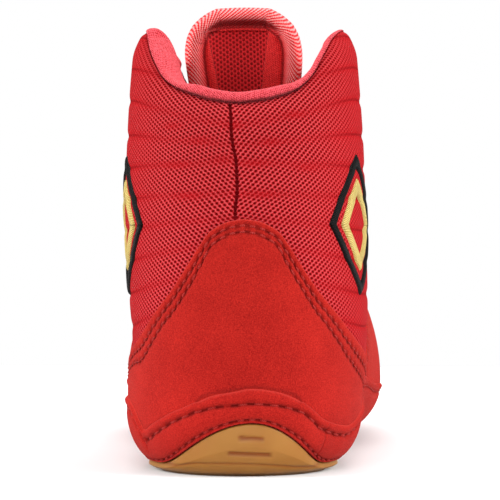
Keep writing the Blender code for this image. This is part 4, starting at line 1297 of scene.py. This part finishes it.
def collar_roll():
    """The roll's section carried round the collar edge, upright at the medial wing. Above the edge it stands
    square to the edge; below, it lies along the wall. Two moving averages along the run even its inside."""
    run = np.linspace(-ROLL_END, ROLL_END, ROLL_COLUMNS)
    far = np.abs(run)
    wing = ease((far - WING_START) / (WING_FULL - WING_START))
    before_end = (by_side(run, SLOPE_END_LATERAL, SLOPE_END_MEDIAL) - far) / SLOPE_FADE
    slope = ease((far - SLOPE_START) / (SLOPE_FULL - SLOPE_START)) * ease(before_end)
    slope = slope * by_side(run, SLOPE_LATERAL, 1)
    back_curve, slope_curve, wing_curve = (
        curve(knots, ROLL_POINTS, True)[:, None] for knots in (ROLL_BACK, ROLL_SLOPE, ROLL_WING))
    section = back_curve + (wing_curve - back_curve) * wing[:, None]
    section = section + (slope_curve - section) * slope[:, None]
    full = 1 - (1 - ROLL_THIN_PART) * ease((far - ROLL_THIN_START) / (ROLL_END - ROLL_THIN_START))
    full = full + ROLL_SWELL * bell(run + ROLL_SWELL_AT, ROLL_SWELL_WIDTH)
    close = np.sqrt(1 - (1 - np.clip((ROLL_END - far) / ROLL_CLOSE, 0, 1)) ** 2)
    inner = ROLL_BACK[-1, 0]
    out = section[..., 0]
    out = np.where(out < inner, inner + (out - inner) * full, out)
    out = ROLL_MIDDLE + (out - ROLL_MIDDLE) * close
    up_by = section[..., 1] * close
    along, by_level = slopes(run, 1)
    normal = wall_normal(run, 1)
    normal[:, 2] *= 1 - wing * by_side(run, UPRIGHT_LATERAL, 1)
    normal = unit(normal)
    up = unit(np.cross(normal, along))
    square = wall(run, 1) + normal * out[..., None] + up * up_by[..., None]
    lying = skin(run, 1 + np.minimum(up_by, 0) / np.linalg.norm(by_level, axis=-1), out)
    rows = square + (lying - square) * ease((-up_by - ROLL_TURN_START) / ROLL_TURN)[..., None]
    evened = np.pad(rows, ((0, 0), (2 * ROLL_EVEN, 2 * ROLL_EVEN), (0, 0)), mode="edge")
    for _ in range(2):
        evened = np.lib.stride_tricks.sliding_window_view(evened, 2 * ROLL_EVEN + 1, axis=1).mean(axis=-1)
    rows = rows + (evened - rows) * ease((inner - out) / ROLL_EVEN_DEPTH)[..., None]
    rows = np.concatenate([rows, rows[:1]])
    quads = grid_quads(len(rows), len(run), False)
    uv = np.stack([np.broadcast_to(run, rows.shape[:2]), lengths(rows, 0)], axis=-1)
    at = np.arange(len(rows))[:, None]
    # Painted shade in the roll's seam and on the jersey beside it
    crease = NEAR_SHADE[0] * bell(at, NEAR_SHADE[1])
    for seam in (0, ROLL_POINTS):
        crease = crease + SEAM_SHADE[0] * bell(at - seam, SEAM_SHADE[1])
    crease = np.broadcast_to(crease, rows.shape[:2])
    face = new_material("brushed jersey", jersey, "#B01A24", "#EC505C")
    piece = add_mesh("jersey_collar_roll", rows, quads, uv, [face], None, {"crease": crease}, flip=True)
    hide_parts("collar_roll")


collar_roll()

# Tongue: foam between mesh and jersey, its edge bound with a twill-ribbed tape round a cord.
# Inside, a strip of jersey lies each side of a sunk panel of coarse mesh.
# Middle line from under the vamp up: side shift, place, height, radius of the curve across
TONGUE_LINE = np.array([
    (-9.4, 217, 49.6, 110),
    (-8.6, 202, 55.2, 100),
    (-7.8, 190, 59.5, 90),
    (-6.6, 170, 67.5, 62),
    (-5.3, 150, 77.5, 48),
    (-4.4, 132, 89.5, 40),
    (-3.8, 117, 105.0, 36),
    (-3.6, 107, 120.5, 34),
    (-3.7, 100, 135.5, 34),
    (-3.9, 95, 149.0, 34),
    (-3.9, 92, 155.0, 34),
    (-3.9, 90.5, 158.5, 34),
]) * MM
# Half width round the curve: distance from the top, half width
TONGUE_WIDTH = np.array([
    (0, 9.5), (1.4, 12.8), (3, 15.6), (5.5, 18.6), (10.5, 21), (16, 21.8), (30, 20.5), (50, 19), (75, 20),
    (100, 21.5), (125, 20),
]) * MM
TONGUE_HALF = 2.2 * MM
TONGUE_FINE = 62 * MM
TONGUE_EVEN = 6
TONGUE_END_STEPS = np.array([0, 0.05, 0.2, 0.45, 0.8, 1.2, 1.7]) * MM
BINDING_HALF = 3.0 * MM
BINDING_WIDTH = 6.5 * MM
BINDING_CREASE = 1.4 * MM
RIB_PITCH = 1.65 * MM
RIB_LEAN = 1.7
RIB_RISE = 0.22 * MM
# Sunk mesh panel: distance from the top, half width
PANEL = np.array([(8, 12), (30, 8.5), (50, 6.5), (120, 5)]) * MM
PANEL_SHIFT = -2.0 * MM
PANEL_TOP = 7.4 * MM
PANEL_SINK = 1.0 * MM
PANEL_SOFT = 0.9 * MM
STRIP_RISE = 0.5 * MM
# Shade along the binding, round the panel and under the bound top
BINDING_SHADE = 0.85
PANEL_SHADE = 0.6
TOP_SHADE = 0.9


def twill_binding(node):
    """Ribbed polyester tape: shiny filament ribs with a painted highlight on their crests, weaker towards
    the inner edge, and painted shade in its creases.
    """
    uv = node("UVMap", SURFACE_MAP, [])
    rib = wave(node, uv, (1 / RIB_PITCH, RIB_LEAN / RIB_PITCH))
    thread = wave(node, uv, (1.4 / RIB_PITCH, -2.4 / RIB_PITCH))
    tone = node("Math", ADD, [rib, node("Math", MULTIPLY, [thread, 0.25])])
    tone = node("MapRange", SOFT, [tone, -0.9, 1.1, 0, 1])
    inward = node("SeparateXYZ", {}, [uv], "Y")
    # Painted highlight on the rib crests, fading towards the inner edge
    pale = node("MapRange", SOFT, [inward, 2 * MM, BINDING_WIDTH, 1.0, 0.25])
    tone = node("Math", MULTIPLY, [tone, pale])
    colour = node("Mix", COLOURS, [tone, "#E8181E", "#FFA09E"])
    # Painted shade along the crease and under the bound top
    crease = node("Attribute", {"attribute_name": "crease"}, [], "Fac")
    colour = node("Mix", COLOURS, [crease, colour, "#860206"])
    bump = node("Bump", {}, {"Height": thread, "Distance": 0.08 * MM})
    return node("BsdfPrincipled", {}, {
        "Base Color": colour, "Roughness": 0.45, "Normal": bump, "Specular IOR Level": 0.2})


COARSE_PITCH = 1.75 * MM
COARSE_ROWS = 1.25 * MM


def coarse_mesh(node):
    """Open warp-knit mesh: upright slots in staggered rows between thick yarns, painted shade in the slots
    and creases, a painted highlight on the yarn crests.
    """
    uv = node("UVMap", SURFACE_MAP, [])
    one = wave(node, uv, (0.5 / COARSE_ROWS, 1 / COARSE_PITCH))
    other = wave(node, uv, (-0.5 / COARSE_ROWS, 1 / COARSE_PITCH))
    rows = wave(node, uv, (1 / COARSE_ROWS, 0))
    total = node("Math", ADD, [node("Math", ADD, [one, other]), rows])
    # Painted shade in the slots; the same mask sinks them in the bump
    hole_and_shade = node("MapRange", SOFT, [total, 0.2, 1.6, 0, 1])
    # Painted highlight on the yarn crests
    crown = node("MapRange", SOFT, [total, -0.6, -1.4, 0, 0.4])
    yarn = node("Mix", COLOURS, [crown, "#CC161C", "#EE4046"])
    colour = node("Mix", COLOURS, [hole_and_shade, yarn, "#8A060A"])
    # Painted shade round the sunk panel and under the bound top
    crease = node("Attribute", {"attribute_name": "crease"}, [], "Fac")
    colour = node("Mix", COLOURS, [crease, colour, "#5A060A"])
    relief = node("Math", SUBTRACT, [0.0, hole_and_shade])
    bump = node("Bump", {}, {"Height": relief, "Distance": 0.4 * MM})
    return node("BsdfPrincipled", {}, {
        "Base Color": colour, "Roughness": 0.7, "Normal": bump, "Specular IOR Level": 0.25})


def along_border(across, up, half):
    """Length along the tongue's border and distance from it, for a flat grid of points: both from the
    border point nearest to each, row by row."""
    top = np.linspace(-half[-1], half[-1], 60)[1:-1]
    border = np.stack([np.concatenate([-half, top, half[::-1]]),
                       np.concatenate([up, np.full_like(top, up[-1]), up[::-1]])], axis=-1)
    at = lengths(border[None], 1)[0]
    ahead = unit(np.gradient(border, axis=0))
    along, away = np.empty_like(across), np.empty_like(across)
    for row, height in enumerate(up):
        place = np.stack([across[row], np.full_like(across[row], height)], axis=-1)
        nearest = np.linalg.norm(place[:, None] - border, axis=-1).argmin(axis=1)
        off = place - border[nearest]
        past = (off * ahead[nearest]).sum(axis=-1)
        along[row] = at[nearest] + past
        away[row] = np.sqrt(np.clip((off**2).sum(axis=-1) - past**2, 0, None))
    return along, away


def tongue():
    """A pad over the tongue's middle line: across by an arc of its bend, thick by its binding's round."""
    knots = np.linspace(0, 1, len(TONGUE_LINE))
    part = np.linspace(0, 1, 401)
    fine = np.stack([smooth(part, knots, column) for column in TONGUE_LINE.T], axis=-1)
    place = lengths(fine[None, :, :3], 1)[0]
    length = place[-1]
    steps = TONGUE_END_STEPS
    fine_start = length - TONGUE_FINE
    between = stretches((2.5 * MM, fine_start, 40), (fine_start, length - 2 * MM, 200))
    up = np.concatenate([steps, between, length - steps[::-1]])
    x, y, z, bend = (np.interp(up, place, column) for column in fine.T)
    line = np.stack([x, y, z], axis=-1)
    ahead = unit(np.stack([np.gradient(column, up) for column in (x, y, z)], axis=-1))
    ahead = np.pad(ahead, ((TONGUE_EVEN, TONGUE_EVEN), (0, 0)), mode="edge")
    ahead = unit(np.lib.stride_tricks.sliding_window_view(ahead, 2 * TONGUE_EVEN + 1, axis=0).mean(axis=-1))
    outward = unit(np.cross(np.broadcast_to((1.0, 0.0, 0.0), ahead.shape), -ahead))
    from_top = length - up
    half = smooth(from_top, *TONGUE_WIDTH.T)
    edge_steps = np.concatenate([steps[:5], np.linspace(1.1, 7.4, 17) * MM])
    sides = half[:, None] - edge_steps
    middle = (half[:, None] - edge_steps[-1] - 0.35 * MM) * np.linspace(1, -1, 74)
    across = np.concatenate([sides, middle, -sides[:, ::-1]], axis=1)[:, ::-1]
    along, edge = along_border(across, up, half)
    border = np.minimum(edge, up[:, None])
    round_edge = np.sqrt(np.clip(1 - (1 - np.clip(border / BINDING_HALF, 0, 1)) ** 2, 0, 1))
    fall = ease((edge - BINDING_HALF) / (BINDING_WIDTH - BINDING_HALF))
    thick = (BINDING_HALF + (BINDING_CREASE - BINDING_HALF) * fall) * round_edge
    thick = thick + (TONGUE_HALF - BINDING_CREASE) * ease((edge - BINDING_WIDTH) / (1.5 * MM))
    bound = 1 - ease((edge - BINDING_WIDTH + 0.6 * MM) / (0.6 * MM))
    rib = RIB_RISE * np.cos(2 * math.pi * (along + RIB_LEAN * edge) / RIB_PITCH)
    thick = thick + rib * bound * ease(edge / MM)
    panel = smooth(from_top, *PANEL.T)[:, None]
    off = np.abs(across - PANEL_SHIFT)
    sunk = ease((panel - off) / PANEL_SOFT) * ease((from_top[:, None] - PANEL_TOP) / PANEL_SOFT)
    strip_width = half[:, None] - BINDING_WIDTH - PANEL_SHIFT * np.sign(across) - panel
    over_strip = (off - panel) / np.maximum(strip_width, MM)
    swell = STRIP_RISE * np.sin(math.pi * np.clip(over_strip, 0, 1))
    faces = []
    for offset in (thick, -(thick + swell - PANEL_SINK * sunk)):
        turn = across / bend[:, None]
        away = bend[:, None] + offset
        grid = line[:, None] + outward[:, None] * (away * np.cos(turn) - bend[:, None])[..., None]
        grid[..., 0] += away * np.sin(turn)
        faces.append(grid)
    rows, columns = across.shape
    outer = grid_quads(rows, columns, False)
    quads = np.concatenate([outer, grid_quads(rows, columns, False, rows * columns)[:, ::-1]])
    plain, wrapped = (np.tile(np.stack(np.broadcast_arrays(*pair), axis=-1).reshape(-1, 2), (2, 1))[quads]
                      for pair in ((across, up[:, None]), (along, edge)))
    from_edge, in_panel = (array.reshape(-1)[outer].mean(axis=1) for array in (edge, sunk))
    kind = np.where(from_edge < BINDING_WIDTH, 0, 1)
    kind = np.concatenate([kind, np.where((kind == 1) & (in_panel > 0.5), 2, kind)])
    uv = np.where((kind == 0)[:, None, None], wrapped, plain)
    # Painted shade along the binding's inner border, round the sunk panel and under the bound top
    crease = bell(edge - BINDING_WIDTH, 0.5 * MM) * BINDING_SHADE
    inner_crease_shade = np.maximum(crease, PANEL_SHADE * bell((sunk - 0.5) * PANEL_SOFT, 0.25 * MM))
    under_top = ease((edge - 2 * MM) / (2 * MM)) * ease((BINDING_WIDTH + MM - from_top[:, None]) / (2 * MM))
    inner_crease_shade = np.maximum(inner_crease_shade, TOP_SHADE * under_top)
    cloths = [new_material("twill binding", twill_binding),
              new_material("tongue jersey", jersey, "#C81418", "#EE2E2E"),
              new_material("coarse tongue mesh", coarse_mesh)]
    piece = add_mesh("bound_tongue", np.concatenate(faces), quads, uv, cloths, kind,
                     {"crease": np.concatenate([crease, inner_crease_shade])})
    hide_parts("tongue")


tongue()

# Lace: a flat woven cord, criss-crossed through the eyelets, its ends tucked in at the top pair.
LACE_HALF_WIDTH = 3 * MM
LACE_THICKNESS = 1.5 * MM
LACE_CLEAR = 0.8 * MM
LACE_LIFT = GAP + STAY_THICKNESS + LACE_CLEAR + LACE_THICKNESS / 2
OVER_RISE = 1.5 * MM
EDGE_SHARE = 0.3
# At an eyelet: how deep the end dives, where it comes up, and where it lies flat
LACE_DIVE = 2.2 * MM
LACE_BACK = 0.4 * MM
LACE_RISE = 0.5 * MM
LACE_FLAT = 2.2 * MM
LACE_GATHER_START = 0.8 * MM
LACE_GATHER = 5 * MM
LACE_CLOSE = 0.5 * MM
# Tubular woven polyester, flattened: chevrons of yarn
WEAVE_PITCH = 1.0 * MM
woven_cord = new_material(
    "flat woven cord", fine_cloth, [(0.77 / WEAVE_PITCH, lean / WEAVE_PITCH) for lean in (0.64, -0.64)],
    (-0.7, 0.9), ("#8E0C12", "#C0242C"), 0.2 * MM, {"Roughness": 0.6, "Specular IOR Level": 0.2})


def strap_route(start, end, rise):
    """Points and normals of a strap: out of one eyelet, over the throat's edges, into another."""
    places, normals = [], []
    for run, other, share in ((start, end, 0), (start, end, 1), (end, start, 1), (end, start, 0)):
        at = np.array([np.sign(run) * (abs(run) + (abs(other) - abs(run)) * share * EDGE_SHARE)])
        level = level_below_edge(at, EYELET_FROM_EDGE * (1 - share))
        places.append(skin(at, level, LACE_LIFT)[0])
        normals.append(wall_normal(at, level)[0])
    crown = unit(normals[1] + normals[2])
    middle = (places[1] + places[2]) / 2 + crown * rise
    ends = []
    for eyelet, edge in ((0, 1), (3, 2)):
        way, normal = unit(places[edge] - places[eyelet]), normals[eyelet]
        ends.append([places[eyelet] - normal * LACE_DIVE - way * LACE_BACK,
                     places[eyelet] - normal * LACE_RISE + way * LACE_RISE,
                     places[eyelet] + way * LACE_FLAT])
    line = [*ends[0], places[1], middle, places[2], *ends[1][::-1]]
    ways = [normals[0]] * 3 + [normals[1], crown, normals[2]] + [normals[3]] * 3
    return np.array(line), np.array(ways)


def lace():
    """Every strap as a flattened tube: a superellipse carried along its curve, gathered at the eyelets."""
    straps = [(EYELET_RUNS[-1], -EYELET_RUNS[-1], 0.0)]
    for row in range(len(EYELET_RUNS) - 1):
        low, high = EYELET_RUNS[row + 1], EYELET_RUNS[row]
        straps += [(low, -high, 0.0), (-low, high, OVER_RISE)]
    steps, around = 70, 20
    turn = np.linspace(0, 2 * math.pi, around + 1)[:-1]
    flat_x = np.sign(np.cos(turn)) * np.abs(np.cos(turn)) ** 0.5
    flat_z = np.sign(np.sin(turn)) * np.abs(np.sin(turn)) ** 0.7
    points, quads, uv = [], [], []
    for index, (start, end, rise) in enumerate(straps):
        knots, ways = strap_route(start, end, rise)
        line, up = curve(knots, steps, False), unit(curve(ways, steps, False))
        ahead = unit(np.gradient(line, axis=0))
        across = unit(np.cross(ahead, up))
        up = unit(np.cross(across, ahead))
        at = lengths(line[None], 1)[0]
        from_end = np.minimum(at, at[-1] - at)
        gather = ease((from_end - LACE_GATHER_START) / LACE_GATHER)
        width = LACE_HALF_WIDTH * (0.5 + 0.5 * gather)
        thick = LACE_THICKNESS / 2 * (1.25 - 0.25 * gather)
        close = np.sqrt(1 - (1 - np.clip(from_end / LACE_CLOSE, 0, 1)) ** 2)
        ring = across[:, None] * (flat_x * (width * close)[:, None])[..., None]
        ring = ring + up[:, None] * (flat_z * (thick * close)[:, None])[..., None]
        points.append(line[:, None] + ring)
        quads.append(grid_quads(steps, around, True, index * steps * around))
        uv.append(np.stack(np.broadcast_arrays(at[:, None], flat_x * LACE_HALF_WIDTH), axis=-1))
    quads = np.concatenate(quads)
    piece = add_mesh("woven_lace", np.concatenate(points), quads, np.concatenate(uv), [woven_cord],
                     flip=True)
    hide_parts("lace")


lace()

# Stage: white paper under soft studio light, and the camera behind the heel, a little to the lateral side.
FLOOR = ((-0.7, -0.34), (0.7, 0.7))
CAMERA_TURN = math.radians(4)
CAMERA_DISTANCE = 695 * MM
CAMERA_HEIGHT = 62 * MM
AIM_SIDE = 1.66 * MM
AIM_HEIGHT = 72 * MM
SENSOR = 36.0
LENS = 150.7
# Softboxes: place, size and power; all face the ankle
SOFTBOXES = (
    ((0.0, 0.15, 1.3), 1.3, 19),
    ((0.0, -1.3, 0.3), 0.8, 7.8),
    ((-1.0, -0.35, 0.45), 0.7, 12.5),
    ((1.0, -0.3, 0.45), 0.7, 13.5),
)
LIGHT_AIM = np.array([0.0, -0.1, 0.07])
AMBIENT = 0.2


def white_paper(node):
    """Matt white paper."""
    return node("BsdfDiffuse", {}, {"Color": "#E6E6E6", "Roughness": 0.9})


def facing(way):
    """Turn that points an object's -Z along a direction, its Y up."""
    flat = math.hypot(way[0], way[1])
    return (math.atan2(flat, -way[2]), 0, math.atan2(-way[0], way[1]))


def stage():
    """Floor, lights and camera; the surround is white to the camera and dimmer as a light."""
    mesh = bpy.data.meshes.new("floor")
    (left, front), (right, back) = FLOOR
    corners = np.array([(left, front, 0), (right, front, 0), (right, back, 0), (left, back, 0)])
    mesh.from_pydata(corners.tolist(), [], [(0, 1, 2, 3)])
    mesh.materials.append(new_material("white paper", white_paper))
    floor = bpy.data.objects.new("floor", mesh)
    bpy.context.scene.collection.objects.link(floor)
    world = bpy.data.worlds.new("studio")
    bpy.context.scene.world = world
    world.use_nodes = True
    world.node_tree.nodes.clear()
    node = partial(add_node, world.node_tree)
    seen = node("LightPath", {}, [], "Is Camera Ray")
    room, sweep = (node("Background", {}, {"Color": "#FFFFFF", "Strength": strength})
                   for strength in (AMBIENT, 1.0))
    surround = node("MixShader", {}, [seen, room, sweep])
    node("OutputWorld", {}, [surround])
    for index, (place, size, power) in enumerate(SOFTBOXES):
        light = bpy.data.lights.new(f"softbox {index}", "AREA")
        light.size = size
        light.energy = power
        lamp = bpy.data.objects.new(light.name, light)
        lamp.location = place
        lamp.rotation_euler = facing(LIGHT_AIM - np.array(place))
        bpy.context.scene.collection.objects.link(lamp)
    right = np.array([math.cos(CAMERA_TURN), math.sin(CAMERA_TURN), 0])
    ahead = np.array([-math.sin(CAMERA_TURN), math.cos(CAMERA_TURN), 0])
    axis = ORIGIN + np.array([0, HEEL_AXIS_Y, 0])
    eye = axis - ahead * CAMERA_DISTANCE + np.array([0, 0, CAMERA_HEIGHT])
    target = axis + right * AIM_SIDE + np.array([0, 0, AIM_HEIGHT])
    lens = bpy.data.cameras.new("camera")
    lens.lens = LENS
    lens.sensor_width = SENSOR
    camera = bpy.data.objects.new("camera", lens)
    camera.location = eye
    camera.rotation_euler = facing(target - eye)
    bpy.context.scene.collection.objects.link(camera)
    bpy.context.scene.camera = camera
    bpy.context.scene.view_settings.view_transform = "Standard"


stage()
